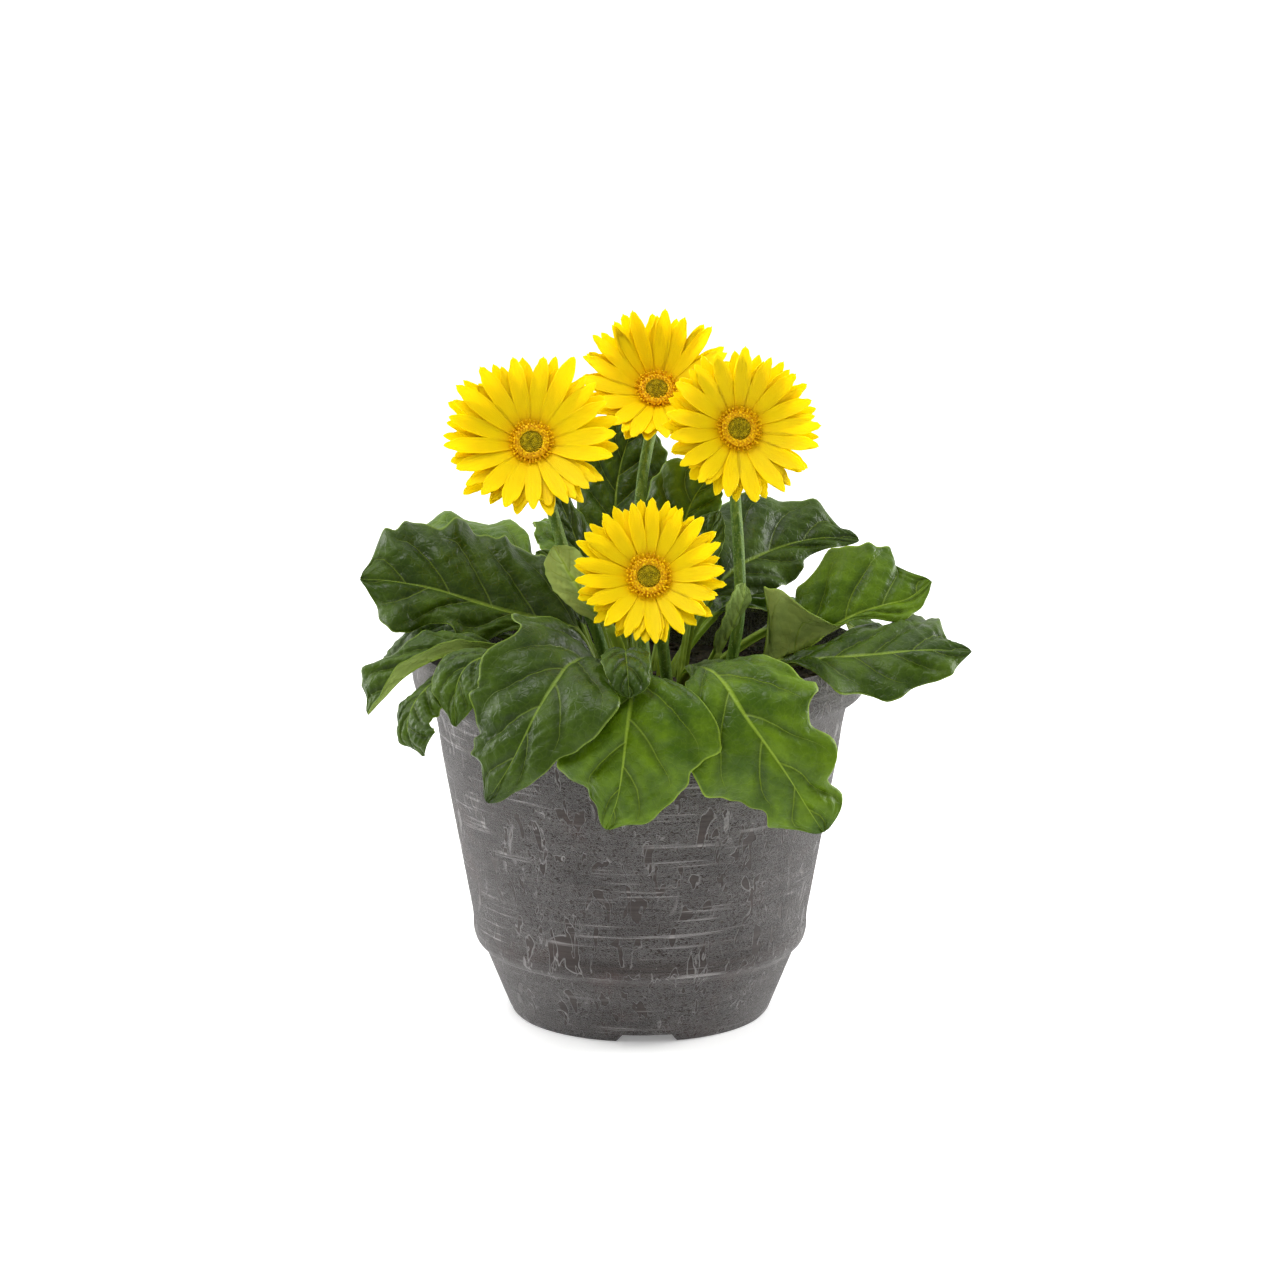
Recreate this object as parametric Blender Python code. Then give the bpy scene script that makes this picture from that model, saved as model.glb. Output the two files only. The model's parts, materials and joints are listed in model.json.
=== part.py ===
"""Potted gerbera: a round planter filled with soil, a rosette of lobed leaves and
four yellow blooms on leafless stalks. Every node is one closed solid at real size."""
import math
import random

import bmesh
import bpy
import numpy as np
from mathutils import Matrix, Vector

MM = 0.001
GAP = 0.3

# Planter, in millimetres
POT_SIDES = 36
POT_WALL = 4.0
POT_FLOOR = 9.0
FOOT_INNER = 67.0
FOOT_RECESS = 5.0
POT_OUTSIDE = [
    (75.5, 0.0), (77.4, 2.0), (92.9, 40.0), (97.6, 44.0), (99.6, 50.0), (99.7, 60.0),
    (117.3, 157.0), (120.0, 176.5), (123.0, 190.0), (132.4, 195.6), (134.6, 203.6),
    (135.0, 216.5), (133.3, 220.2), (130.8, 221.0), (127.6, 218.6),
]
NOTCH_COUNT = 4
NOTCH_TURN = 3.0
NOTCH_FOOT_WIDTH = 36.0
NOTCH_TOP_WIDTH = 29.0
NOTCH_HEIGHT = 5.0
DRAIN_RADIUS = 5.0
DRAIN_RING = 44.0

# Soil, in millimetres
SOIL_TOP = 198.5
SOIL_SIDES = 24
SOIL_ROUGHNESS = 1.0
HOLE_FLOOR = 185.0
FOOT_LEVEL = 188.0
STALK_RISE = 12.0
STALK_HOLE = 3.7
STEM_HOLE = 4.3
HOLE_SIDES = 6

# Leaf section, in millimetres
BLADE_THICK = 0.7
KEEL_THICK = 2.6
STALK_THICK = 4.6
STALK_HALF_WIDTH = 2.3
LEAF_COLUMNS = 4
STALK_ROWS = 2
TIP_ROUNDING = 0.16

# The origin is the middle of the footprint, this far from the planter's own axis
SHIFT_X = 12.5
SHIFT_Y = -4.3

GREEN_DARK = (0.045, 0.115, 0.020)
GREEN_MID = (0.085, 0.200, 0.020)
GREEN_BRIGHT = (0.160, 0.330, 0.022)

for old in list(bpy.data.objects):
    bpy.data.objects.remove(old, do_unlink=True)

scene_root = bpy.data.objects.new("plant_frame", None)
scene_root.location = (-SHIFT_X * MM, -SHIFT_Y * MM, 0.0)
bpy.context.scene.collection.objects.link(scene_root)


def material(name, colour, roughness, metallic=0.0):
    """A Principled material, made once for each name."""
    found = bpy.data.materials.get(name)
    if found:
        return found
    made = bpy.data.materials.new(name)
    made.use_nodes = True
    shader = made.node_tree.nodes["Principled BSDF"]
    shader.inputs["Base Color"].default_value = (*colour, 1.0)
    shader.inputs["Roughness"].default_value = roughness
    shader.inputs["Metallic"].default_value = metallic
    made.diffuse_color = (*colour, 1.0)
    return made


def new_object(name, bm, surface=None, smooth_angle=40.0):
    """Links a bmesh, built in millimetres, as an object in metres under the frame."""
    bmesh.ops.scale(bm, vec=(MM, MM, MM), verts=bm.verts)
    mesh = bpy.data.meshes.new(name)
    bm.to_mesh(mesh)
    bm.free()
    mesh.shade_smooth()
    mesh.set_sharp_from_angle(angle=math.radians(smooth_angle))
    made = bpy.data.objects.new(name, mesh)
    bpy.context.scene.collection.objects.link(made)
    made.parent = scene_root
    if surface:
        mesh.materials.append(surface)
    return made


def combine(target, others, operation):
    """One Boolean of a collection of objects on the target, applied, then tidied away."""
    group = bpy.data.collections.new(target.name + "_parts")
    bpy.context.scene.collection.children.link(group)
    for other in others:
        bpy.context.scene.collection.objects.unlink(other)
        group.objects.link(other)
    cut = target.modifiers.new("combine", "BOOLEAN")
    cut.operation = operation
    cut.operand_type = "COLLECTION"
    cut.collection = group
    cut.solver = "EXACT"
    cut.use_self = operation == "UNION"
    graph = bpy.context.evaluated_depsgraph_get()
    result = bpy.data.meshes.new_from_object(target.evaluated_get(graph))
    target.modifiers.remove(cut)
    target.data = result
    for other in others:
        bpy.data.objects.remove(other, do_unlink=True)
    bpy.data.collections.remove(group)


def curve_at(points, f, rise=None):
    """A smooth curve through hand-set points, read at f from 0 to 1. A rise given makes
    it set out straight up."""
    p = np.asarray(points, dtype=float)
    x = min(max(f, 0.0), 1.0) * (len(p) - 1)
    i = min(int(x), len(p) - 2)
    t = x - i
    before = p[i - 1] if i > 0 else 2 * p[0] - p[1]
    if rise and i == 0:
        before = p[1] - np.array([0.0, 0.0, 2.0 * rise])
    after = p[i + 2] if i + 2 < len(p) else 2 * p[-1] - p[-2]
    a, b = p[i], p[i + 1]
    return 0.5 * (2 * a + (b - before) * t + (2 * before - 5 * a + 4 * b - after) * t ** 2
                  + (3 * a - before - 3 * b + after) * t ** 3)


def even_path(points, steps=160):
    """A stalk's path by share of length: straight up in the soil, then a smooth curve."""
    foot = (points[0][0], points[0][1], FOOT_LEVEL)
    above = [curve_at(points, i / steps, STALK_RISE) for i in range(steps + 1)]
    dense = np.array([foot] + above)
    length = np.concatenate([[0.0], np.cumsum(np.linalg.norm(np.diff(dense, axis=0), axis=1))])
    share = length / length[-1]

    def at(f):
        f = min(max(f, 0.0), 1.0)
        return np.array([np.interp(f, share, dense[:, k]) for k in range(3)])

    return at, length[-1]


def spin_profile(profile, sides):
    """A closed turned solid from an (r, z) profile that starts and ends on the axis."""
    bm = bmesh.new()
    verts = [bm.verts.new((r, 0.0, z)) for r, z in profile]
    edges = [bm.edges.new(pair) for pair in zip(verts, verts[1:])]
    bmesh.ops.spin(bm, geom=verts + edges, cent=(0, 0, 0), axis=(0, 0, 1),
                   angle=math.tau, steps=sides, use_merge=True)
    bmesh.ops.remove_doubles(bm, verts=bm.verts, dist=0.001)
    bmesh.ops.recalc_face_normals(bm, faces=bm.faces)
    return bm


def outside_radius(height):
    """The planter's outer radius at a height on its side."""
    side = [(z, r) for r, z in POT_OUTSIDE[:12]]
    return float(np.interp(height, [z for z, r in side], [r for z, r in side]))


def make_pot():
    """The planter's turned shell, with its foot ring, four foot notches and drain holes."""
    inside = [(outside_radius(z) - POT_WALL, z) for z in (188.0, 60.0)]
    inside += [(94.0, 46.0), (89.0, 40.0), (76.0, POT_FLOOR + 3.0), (72.0, POT_FLOOR)]
    profile = [(0.0, FOOT_RECESS), (FOOT_INNER - 1.0, FOOT_RECESS), (FOOT_INNER, 0.0)]
    profile += POT_OUTSIDE + [(125.5, 196.0)] + inside + [(0.0, POT_FLOOR)]
    stone = material("planter_resin", (0.110, 0.095, 0.092), 0.8)
    pot = new_object("planter", spin_profile(profile, POT_SIDES), stone, 25.0)
    cutters = []
    for number in range(NOTCH_COUNT):
        bm = bmesh.new()
        bmesh.ops.create_cube(bm, size=1.0)
        for vert in bm.verts:
            width = NOTCH_TOP_WIDTH if vert.co.z > 0 else NOTCH_FOOT_WIDTH * 1.04
            vert.co.y *= width
            vert.co.x = FOOT_INNER - 12.0 if vert.co.x < 0 else 100.0
            vert.co.z = NOTCH_HEIGHT - 0.2 if vert.co.z > 0 else -1.0
        turn = math.radians(NOTCH_TURN - 90.0 + 360.0 / NOTCH_COUNT * number)
        bmesh.ops.rotate(bm, cent=(0, 0, 0), matrix=Matrix.Rotation(turn, 3, "Z"), verts=bm.verts)
        cutters.append(new_object(f"notch_cutter_{number}", bm))
        bm = bmesh.new()
        bmesh.ops.create_cone(bm, cap_ends=True, segments=10, radius1=DRAIN_RADIUS,
                              radius2=DRAIN_RADIUS, depth=20.0)
        place = turn + math.radians(45.0)
        spot = (DRAIN_RING * math.cos(place), DRAIN_RING * math.sin(place), POT_FLOOR)
        bmesh.ops.translate(bm, vec=spot, verts=bm.verts)
        cutters.append(new_object(f"drain_cutter_{number}", bm))
    combine(pot, cutters, "DIFFERENCE")


def make_soil(feet):
    """Soil that fills the planter, rough on top, with a plain hole for each stalk."""
    rings = [(z, outside_radius(z) - POT_WALL - GAP) for z in (60.0, 188.0)]
    profile = [(0.0, POT_FLOOR + GAP), (71.6, POT_FLOOR + GAP), (75.6, POT_FLOOR + 3.2)]
    profile += [(88.6, 40.2), (93.6, 46.2)] + [(r - 0.5, z) for z, r in rings]
    profile += [(122.5, 194.5), (117.0, 197.0)]
    profile += [(r, SOIL_TOP) for r in (96.0, 70.0)] + [(0.0, SOIL_TOP)]
    bm = spin_profile(profile, SOIL_SIDES)
    draw = random.Random(7)
    for vert in bm.verts:
        if vert.co.z > SOIL_TOP - 0.1 and 70.0 < vert.co.to_2d().length:
            vert.co.z += draw.uniform(-2.0, SOIL_ROUGHNESS)
    soil = new_object("soil", bm, material("potting_soil", (0.030, 0.020, 0.014), 0.95))
    cutters = []
    for number, (x, y, radius) in enumerate(feet):
        hole = bmesh.new()
        depth = SOIL_TOP + 10.0 - HOLE_FLOOR
        bmesh.ops.create_cone(hole, cap_ends=True, segments=HOLE_SIDES, radius1=radius,
                              radius2=radius, depth=depth)
        bmesh.ops.translate(hole, vec=(x, y, HOLE_FLOOR + depth / 2), verts=hole.verts)
        cutters.append(new_object(f"hole_cutter_{number}", hole))
    combine(soil, cutters, "DIFFERENCE")


def half_section(width, lift, curl, s):
    """How far a point s of the half blade lies out and up, on an arc from the rib."""
    start = math.radians(lift)
    bend = math.radians(curl)
    if abs(bend) < 0.01:
        bend = 0.01
    out = (math.sin(start) - math.sin(start - bend * s)) / bend
    up = (math.cos(start - bend * s) - math.cos(start)) / bend
    return width * out, width * up, start - bend * s


def leaf_surface(leaf):
    """The leaf's middle surface: a function of u along it and s across it, -1 to 1."""
    path = even_path(leaf["rib"])[0]
    turn = math.radians(leaf["face"])
    left_hand = np.array([-math.sin(turn), math.cos(turn), 0.0])
    stalk = leaf["stalk"]
    sweep = leaf.get("sweep", 0.3)
    waves = leaf.get("waves", 4.5)
    height = leaf.get("wave", 3.0)
    phase = leaf.get("phase", 0.0)

    def at(u, s):
        centre = path(u)
        ahead = path(min(u + 0.01, 1.0)) - path(max(u - 0.01, 0.0))
        ahead /= np.linalg.norm(ahead)
        side = left_hand - np.dot(left_hand, ahead) * ahead
        side /= np.linalg.norm(side)
        top = np.cross(ahead, side)
        f = (u - stalk) / (1.0 - stalk)
        if f <= 0.0:
            return centre + side * s * STALK_HALF_WIDTH
        hand = "left" if s > 0 else "right"
        t = abs(s)
        width = float(curve_at(leaf[hand], f))
        start = min(f / 0.06, 1.0)
        width = STALK_HALF_WIDTH + (width - STALK_HALF_WIDTH) * start
        near_tip = max(0.0, (f - 1.0 + TIP_ROUNDING) / TIP_ROUNDING)
        width *= math.sqrt(max(0.0, 1.0 - near_tip ** 2)) * 0.96 + 0.04
        lift = float(curve_at(leaf["lift_" + hand], f)) * start
        curl = float(curve_at(leaf.get("curl_" + hand, (20, 20)), f)) * start
        out, up, angle = half_section(width, lift, curl, t)
        out_way = side * (1 if s > 0 else -1)
        turn_of_wave = math.tau * waves * f + phase + (1.6 if s > 0 else 0.0)
        ripple = height * t * t * math.sin(turn_of_wave) * min(1.0, width / 20.0)
        face = math.cos(angle) * top - math.sin(angle) * out_way
        point = centre + out_way * out + top * up + face * ripple
        return point + ahead * sweep * width * t * (1.0 - near_tip)

    return at


def make_leaf(name, colour, **leaf):
    """One leaf with its stalk and keel: a thin closed blade of rows and columns."""
    at = leaf_surface(leaf)
    stalk = leaf["stalk"]
    rows = leaf["rows"]
    soil_share = (SOIL_TOP + 2.0 - FOOT_LEVEL) / even_path(leaf["rib"])[1]
    levels = [0.0]
    levels += [soil_share + (stalk - soil_share) * i / STALK_ROWS for i in range(STALK_ROWS)]
    levels += [stalk + (1.0 - stalk) * (1.0 - (1.0 - i / rows) ** 1.3) for i in range(rows + 1)]
    bm = bmesh.new()
    bmesh.ops.create_grid(bm, x_segments=LEAF_COLUMNS, y_segments=len(levels) - 1, size=0.5)
    thickness = {}
    for vert in bm.verts:
        s = round((vert.co.x + 0.5) * LEAF_COLUMNS) / LEAF_COLUMNS * 2.0 - 1.0
        u = levels[round((vert.co.y + 0.5) * (len(levels) - 1))]
        f = (u - stalk) / (1.0 - stalk)
        keel = STALK_THICK if f <= 0 else KEEL_THICK + (BLADE_THICK - KEEL_THICK) * f
        thickness[vert.index] = keel if abs(s) < 0.1 else BLADE_THICK
        if f <= 0 and 0.1 < abs(s) < 0.9:
            thickness[vert.index] = STALK_THICK * 0.72
        vert.co = at(u, -s)
    bmesh.ops.triangulate(bm, faces=bm.faces)
    made = new_object(name, bm, material("leaf_" + colour[0], colour[1], 0.45), 60.0)
    group = made.vertex_groups.new(name="thickness")
    for index, value in thickness.items():
        group.add([index], value / STALK_THICK, "REPLACE")
    solid = made.modifiers.new("blade", "SOLIDIFY")
    solid.thickness = STALK_THICK * MM
    solid.offset = 0.0
    solid.vertex_group = "thickness"
    feet.append((leaf["rib"][0][0], leaf["rib"][0][1], STALK_HOLE))


feet = []
DARK = ("dark", GREEN_DARK)
MID = ("mid", GREEN_MID)
BRIGHT = ("bright", GREEN_BRIGHT)

make_leaf(
    "leaf_left_broad", DARK, face=180, stalk=0.25, waves=4.0, wave=3.5, rows=15,
    rib=[(-24, -8, 200), (-36, -4, 229), (-55, -3, 236), (-75, -4, 241), (-97, -6, 248),
         (-120, -8, 256), (-143, -10, 261), (-164, -10, 263)],
    left=[6, 8, 10, 14, 32, 22, 23, 35, 30, 17, 8],
    right=[6, 44, 50, 50, 48, 55, 43, 47, 36, 33, 16], lift_left=(-45, -40, -40),
    lift_right=(50, 55, 50))
make_leaf(
    "leaf_front_left", DARK, face=-123, stalk=0.22, waves=4.0, wave=3.5, rows=15,
    rib=[(-16, -40, 200), (-24, -66, 224), (-37, -108, 234), (-46, -135, 230), (-57, -149, 215),
         (-66, -156, 198), (-75, -157, 181), (-86, -150, 163)],
    left=[5, 9, 18, 25, 31, 45, 35, 25, 17, 11, 8],
    right=[5, 30, 46, 34, 45, 44, 41, 34, 27, 20, 10], lift_left=(10, 0, -15),
    lift_right=(50, 40, 15, 5, 0))
make_leaf(
    "leaf_front_middle", BRIGHT, face=-100, stalk=0.28, waves=3.5, wave=3.0, rows=13,
    rib=[(2, -62, 200), (1, -85, 222), (-1, -116, 229), (-4, -137, 226), (-6, -150, 215),
         (-8, -156, 199), (-10, -158, 182), (-13, -156, 165), (-19, -150, 147)],
    left=[5, 8, 14, 38, 53, 50, 38, 36, 25, 18, 8], right=[5, 8, 14, 22, 28, 33, 39, 34, 21, 10, 8],
    lift_left=(5, 0, 0), lift_right=(5, 0, 0))
make_leaf(
    "leaf_front_small", DARK, face=-90, stalk=0.45, waves=2.0, wave=1.5, rows=7,
    rib=[(-8, -66, 200), (-8, -84, 226), (-8, -104, 239), (-8, -126, 242), (-7, -144, 237),
         (-6, -155, 224)],
    left=[4, 9, 12, 13, 13, 12, 8], right=[4, 9, 13, 14, 13, 10, 7],
    lift_left=(20, 10, 0), lift_right=(15, 5, 0))
make_leaf(
    "leaf_front_right", BRIGHT, face=-85, stalk=0.24, waves=4.0, wave=4.0, rows=15,
    rib=[(22, -44, 200), (28, -72, 222), (38, -110, 230), (47, -134, 227), (58, -148, 213),
         (70, -153, 197), (82, -152, 179), (93, -147, 160), (103, -141, 143)],
    left=[5, 16, 27, 38, 48, 38, 28, 33, 18, 23, 14],
    right=[5, 8, 12, 20, 31, 44, 40, 34, 22, 27, 16], lift_left=(30, 15, 5, 0),
    lift_right=(0, -5, -5))
make_leaf(
    "leaf_right_broad", MID, face=-18, stalk=0.38, waves=4.0, wave=3.0, rows=13,
    rib=[(34, -30, 200), (56, -40, 214), (80, -54, 222), (108, -66, 227), (135, -74, 231),
         (162, -76, 234), (190, -73, 233)],
    left=[4, 20, 34, 44, 50, 54, 56, 50, 36, 18, 8],
    right=[4, 9, 20, 44, 30, 35, 27, 22, 21, 12, 6], lift_left=(22, 22, 15),
    lift_right=(5, 6, -18, -35, -30, -30), curl_right=(20, 30, 30, 20))
make_leaf(
    "leaf_right_cupped", BRIGHT, face=8, stalk=0.3, waves=3.0, wave=2.5, rows=13,
    rib=[(38, -14, 200), (60, -23, 213), (78, -30, 217), (94, -33, 226), (108, -34, 236),
         (125, -34, 246), (142, -30, 251), (157, -24, 254), (170, -16, 263)],
    left=[8, 16, 24, 30, 36, 45, 41, 39, 36, 28, 12], right=[8, 44, 46, 32, 12, 4, 7, 15, 12, 8, 6],
    lift_left=(60, 60, 60, 55, 50), lift_right=(80, 80, 78, 70, 30, -10, -30, -35, -30, -25, -20),
    curl_left=(15, 15), curl_right=(10, 10))
make_leaf(
    "leaf_back_right_dark", DARK, face=40, stalk=0.35, waves=4.0, wave=3.5, rows=12,
    rib=[(20, 14, 200), (38, 38, 236), (55, 56, 254), (74, 76, 261), (94, 88, 266),
         (114, 95, 268), (134, 99, 266)],
    left=[6, 26, 38, 44, 44, 40, 37, 30, 26, 14, 8], right=[5, 17, 24, 25, 24, 23, 15, 10, 9, 7, 6],
    lift_left=(50, 50, 40), lift_right=(-30, -35, -30))
make_leaf(
    "leaf_back_tall", DARK, face=90, stalk=0.42, waves=3.0, wave=2.5, rows=10,
    rib=[(-8, 28, 200), (-13, 46, 252), (-15, 66, 281), (-14, 80, 303),
         (-9, 88, 324), (0, 90, 346)],
    left=[5, 14, 20, 24, 26, 24, 20, 14, 7], right=[5, 16, 24, 30, 30, 28, 24, 16, 8],
    lift_left=(15, 10, 5), lift_right=(15, 10, 5))
make_leaf(
    "leaf_back_bright", BRIGHT, face=70, stalk=0.45, waves=2.5, wave=2.0, rows=8,
    rib=[(12, 14, 200), (17, 24, 250), (24, 32, 280), (32, 38, 302), (44, 42, 318)],
    left=[4, 12, 20, 28, 30, 24, 10], right=[4, 12, 18, 20, 18, 14, 7], lift_left=(20, 10, 0),
    lift_right=(20, 10, 0))
make_leaf(
    "leaf_back_curled", MID, face=50, stalk=0.5, waves=2.5, wave=2.0, rows=7,
    rib=[(24, 2, 200), (31, 6, 246), (37, 9, 272), (42, 11, 288), (47, 12, 299)],
    left=[4, 9, 13, 13, 11, 6], right=[4, 9, 12, 12, 9, 5], lift_left=(20, 10, 0),
    lift_right=(20, 10, 0))
make_leaf(
    "leaf_left_tall", MID, face=150, stalk=0.45, waves=2.5, wave=2.0, rows=8,
    rib=[(-14, 6, 200), (-28, 17, 250), (-38, 23, 280), (-46, 25, 300),
         (-52, 23, 316)],
    left=[4, 10, 15, 17, 16, 12, 6], right=[4, 10, 14, 16, 15, 12, 6],
    lift_left=(15, 10, 0), lift_right=(15, 10, 0))
make_leaf(
    "leaf_left_inner", DARK, face=150, stalk=0.45, waves=2.5, wave=2.0, rows=8,
    rib=[(-24, 6, 200), (-38, 30, 236), (-48, 42, 252), (-56, 48, 262), (-62, 50, 268)],
    left=[4, 9, 12, 14, 12, 10, 6], right=[4, 10, 14, 16, 14, 10, 6], lift_left=(15, 10, 0),
    lift_right=(20, 20, 20))
make_leaf(
    "leaf_left_curled", BRIGHT, face=-90, stalk=0.5, waves=2.0, wave=1.5, rows=7,
    rib=[(-6, -30, 200), (-14, -42, 235), (-30, -48, 258), (-40, -47, 272), (-50, -42, 288)],
    left=[3, 9, 12, 13, 11, 6], right=[3, 9, 12, 13, 11, 6], lift_left=(10, 10),
    lift_right=(15, 15))
make_leaf(
    "leaf_left_back", BRIGHT, face=155, stalk=0.3, waves=4.0, wave=3.5, rows=11,
    rib=[(-30, 16, 200), (-52, 36, 238), (-74, 48, 256), (-98, 57, 263), (-128, 60, 262),
         (-164, 54, 250)],
    left=[5, 20, 30, 30, 30, 26, 28, 22, 12], right=[5, 12, 22, 42, 40, 48, 32, 22, 12],
    lift_left=(-5, -10, -15), lift_right=(30, 30, 20))
make_leaf(
    "leaf_left_rolled", MID, face=210, stalk=0.42, waves=3.0, wave=2.0, rows=10,
    rib=[(-34, -26, 200), (-60, -42, 223), (-88, -57, 229), (-114, -69, 230), (-134, -78, 221),
         (-148, -82, 207), (-156, -83, 198)],
    left=[4, 7, 8, 8, 8, 9, 9, 7, 5], right=[4, 16, 22, 20, 19, 20, 24, 18, 8],
    lift_left=(70, 75, 70, 40), lift_right=(35, 35, 20))
make_leaf(
    "leaf_left_fold", MID, face=224, stalk=0.4, waves=3.0, wave=2.5, rows=10,
    rib=[(-26, -50, 200), (-52, -74, 226), (-76, -92, 235), (-96, -107, 233), (-104, -119, 220),
         (-104, -127, 201)],
    left=[4, 14, 20, 23, 18, 15, 15, 12, 6], right=[4, 10, 12, 16, 23, 21, 14, 8, 5],
    lift_left=(0, -5, -5), lift_right=(5, 8, 15))
make_leaf(
    "leaf_left_low", MID, face=216, stalk=0.6, waves=3.0, wave=2.0, rows=10,
    rib=[(-42, -36, 200), (-52, -42, 213), (-76, -57, 222), (-104, -78, 226), (-122, -97, 216),
         (-130, -110, 206), (-131, -119, 195), (-122, -124, 183)],
    left=[4, 12, 20, 20, 18, 16, 19, 18, 8], right=[4, 7, 10, 13, 13, 12, 10, 8, 5],
    lift_left=(-5, -5, -5), lift_right=(-5, -5, 0))
make_leaf(
    "leaf_right_inner", DARK, face=-40, stalk=0.5, waves=2.0, wave=1.5, rows=7,
    rib=[(32, -44, 200), (44, -52, 228), (52, -55, 244), (58, -54, 258),
         (60, -50, 268)],
    left=[3, 8, 11, 11, 9, 5], right=[3, 8, 11, 11, 9, 5],
    lift_left=(30, 20, 10), lift_right=(20, 10, 10))
make_leaf(
    "leaf_back_left_low", MID, face=130, stalk=0.35, waves=4.0, wave=3.0, rows=10,
    rib=[(-20, 36, 200), (-48, 66, 224), (-76, 94, 234), (-96, 116, 228),
         (-108, 130, 211), (-112, 136, 190)],
    left=[5, 22, 32, 34, 30, 32, 26, 18, 10], right=[5, 22, 34, 32, 34, 30, 24, 18, 10],
    lift_left=(10, 5, 0), lift_right=(10, 5, 0))
make_leaf(
    "leaf_back_low", DARK, face=93, stalk=0.35, waves=4.0, wave=3.0, rows=10,
    rib=[(-2, 44, 200), (-4, 78, 228), (-6, 112, 240), (-8, 140, 232),
         (-9, 156, 211), (-9, 160, 187)],
    left=[5, 22, 32, 34, 30, 32, 26, 18, 10], right=[5, 22, 34, 32, 34, 30, 24, 18, 10],
    lift_left=(10, 5, 0), lift_right=(10, 5, 0))
make_leaf(
    "leaf_back_right_low", BRIGHT, face=55, stalk=0.35, waves=4.0, wave=3.0, rows=10,
    rib=[(20, 34, 200), (42, 64, 224), (64, 94, 232), (82, 116, 227),
         (94, 132, 210), (98, 138, 189)],
    left=[5, 22, 30, 30, 28, 30, 24, 16, 10], right=[5, 22, 32, 32, 34, 30, 24, 16, 10],
    lift_left=(10, 5, 0), lift_right=(5, 0, 0))
make_leaf(
    "leaf_right_back_low", MID, face=18, stalk=0.35, waves=4.0, wave=3.0, rows=10,
    rib=[(38, 8, 200), (68, 20, 222), (100, 34, 232), (128, 45, 230),
         (146, 52, 214), (153, 55, 194)],
    left=[5, 20, 30, 32, 28, 30, 24, 16, 10], right=[5, 18, 26, 26, 28, 26, 22, 16, 10],
    lift_left=(5, 0, 0), lift_right=(5, 0, 0))
make_leaf(
    "leaf_left_back_low", DARK, face=168, stalk=0.35, waves=4.0, wave=2.5, rows=10,
    rib=[(-42, 4, 200), (-72, 12, 221), (-104, 20, 230), (-130, 24, 228),
         (-148, 26, 212), (-155, 26, 192)],
    left=[5, 16, 22, 24, 26, 26, 22, 16, 10], right=[5, 18, 26, 28, 28, 28, 22, 16, 10],
    lift_left=(0, -5, -5), lift_right=(5, 0, 0))
make_leaf(
    "leaf_back_left_high", BRIGHT, face=117, stalk=0.4, waves=3.5, wave=2.5, rows=9,
    rib=[(-14, 20, 200), (-28, 52, 244), (-38, 80, 268), (-44, 104, 276),
         (-48, 124, 268)],
    left=[4, 18, 26, 26, 24, 22, 16, 8], right=[4, 16, 22, 24, 24, 20, 14, 8],
    lift_left=(15, 10, 5), lift_right=(15, 10, 5))
make_leaf(
    "leaf_back_right_high", MID, face=80, stalk=0.4, waves=3.5, wave=2.5, rows=9,
    rib=[(8, 28, 200), (18, 56, 240), (23, 86, 260), (27, 114, 264),
         (30, 138, 252)],
    left=[4, 18, 24, 26, 24, 22, 16, 8], right=[4, 16, 22, 22, 22, 20, 14, 8],
    lift_left=(15, 10, 5), lift_right=(10, 10, 5))


# Blooms: sizes in millimetres in the bloom's own frame, whose +Z looks out of its face
RAYS_IN_LAYER = 17
RAY_THICK = 0.8
CORE_RADIUS = 11.0
CORE_BACK = -6.0
CORE_FRONT = -2.6
COLLAR_FOOT = 9.4
COLLAR_INNER = 6.6
STEM_RADIUS = 3.5
STEM_SIDES = 8
CUP_RADIUS = 9.5


def bloom_frame(centre, elevation, turn):
    """The matrix that carries the bloom's own frame to its place, in millimetres."""
    tip = math.radians(elevation)
    heading = math.radians(turn)
    look = Vector((math.sin(heading) * math.cos(tip), -math.cos(heading) * math.cos(tip),
                   math.sin(tip)))
    across = Vector((0, 0, 1)).cross(look).normalized()
    upward = look.cross(across)
    rotation = Matrix((across, upward, look)).transposed().to_4x4()
    return Matrix.Translation(centre) @ rotation


def make_ray(name, frame, angle, reach, width, tilt, back, twist):
    """One ray floret: a flat blade, narrow at its root and rounded at its tip."""
    stations = [(0.0, 1.3), (0.62, width * 0.5), (1.0, width * 0.2)]
    root = 8.5
    bm = bmesh.new()
    bmesh.ops.create_grid(bm, x_segments=1, y_segments=len(stations) - 1, size=0.5)
    for vert in bm.verts:
        f, half = stations[round((vert.co.y + 0.5) * (len(stations) - 1))]
        side = half if vert.co.x > 0 else -half
        radius = root + (reach - root) * f
        rise = math.sin(math.radians(tilt)) * (radius - root)
        rise += side * math.sin(math.radians(twist))
        flat = math.cos(math.radians(tilt * 0.5))
        vert.co = (radius * flat, side, back + rise)
    bmesh.ops.triangulate(bm, faces=bm.faces)
    bmesh.ops.solidify(bm, geom=bm.faces, thickness=RAY_THICK)
    bmesh.ops.recalc_face_normals(bm, faces=bm.faces)
    bmesh.ops.rotate(bm, cent=(0, 0, 0), matrix=Matrix.Rotation(angle, 3, "Z"), verts=bm.verts)
    bm.transform(frame)
    return new_object(name, bm)


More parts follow.
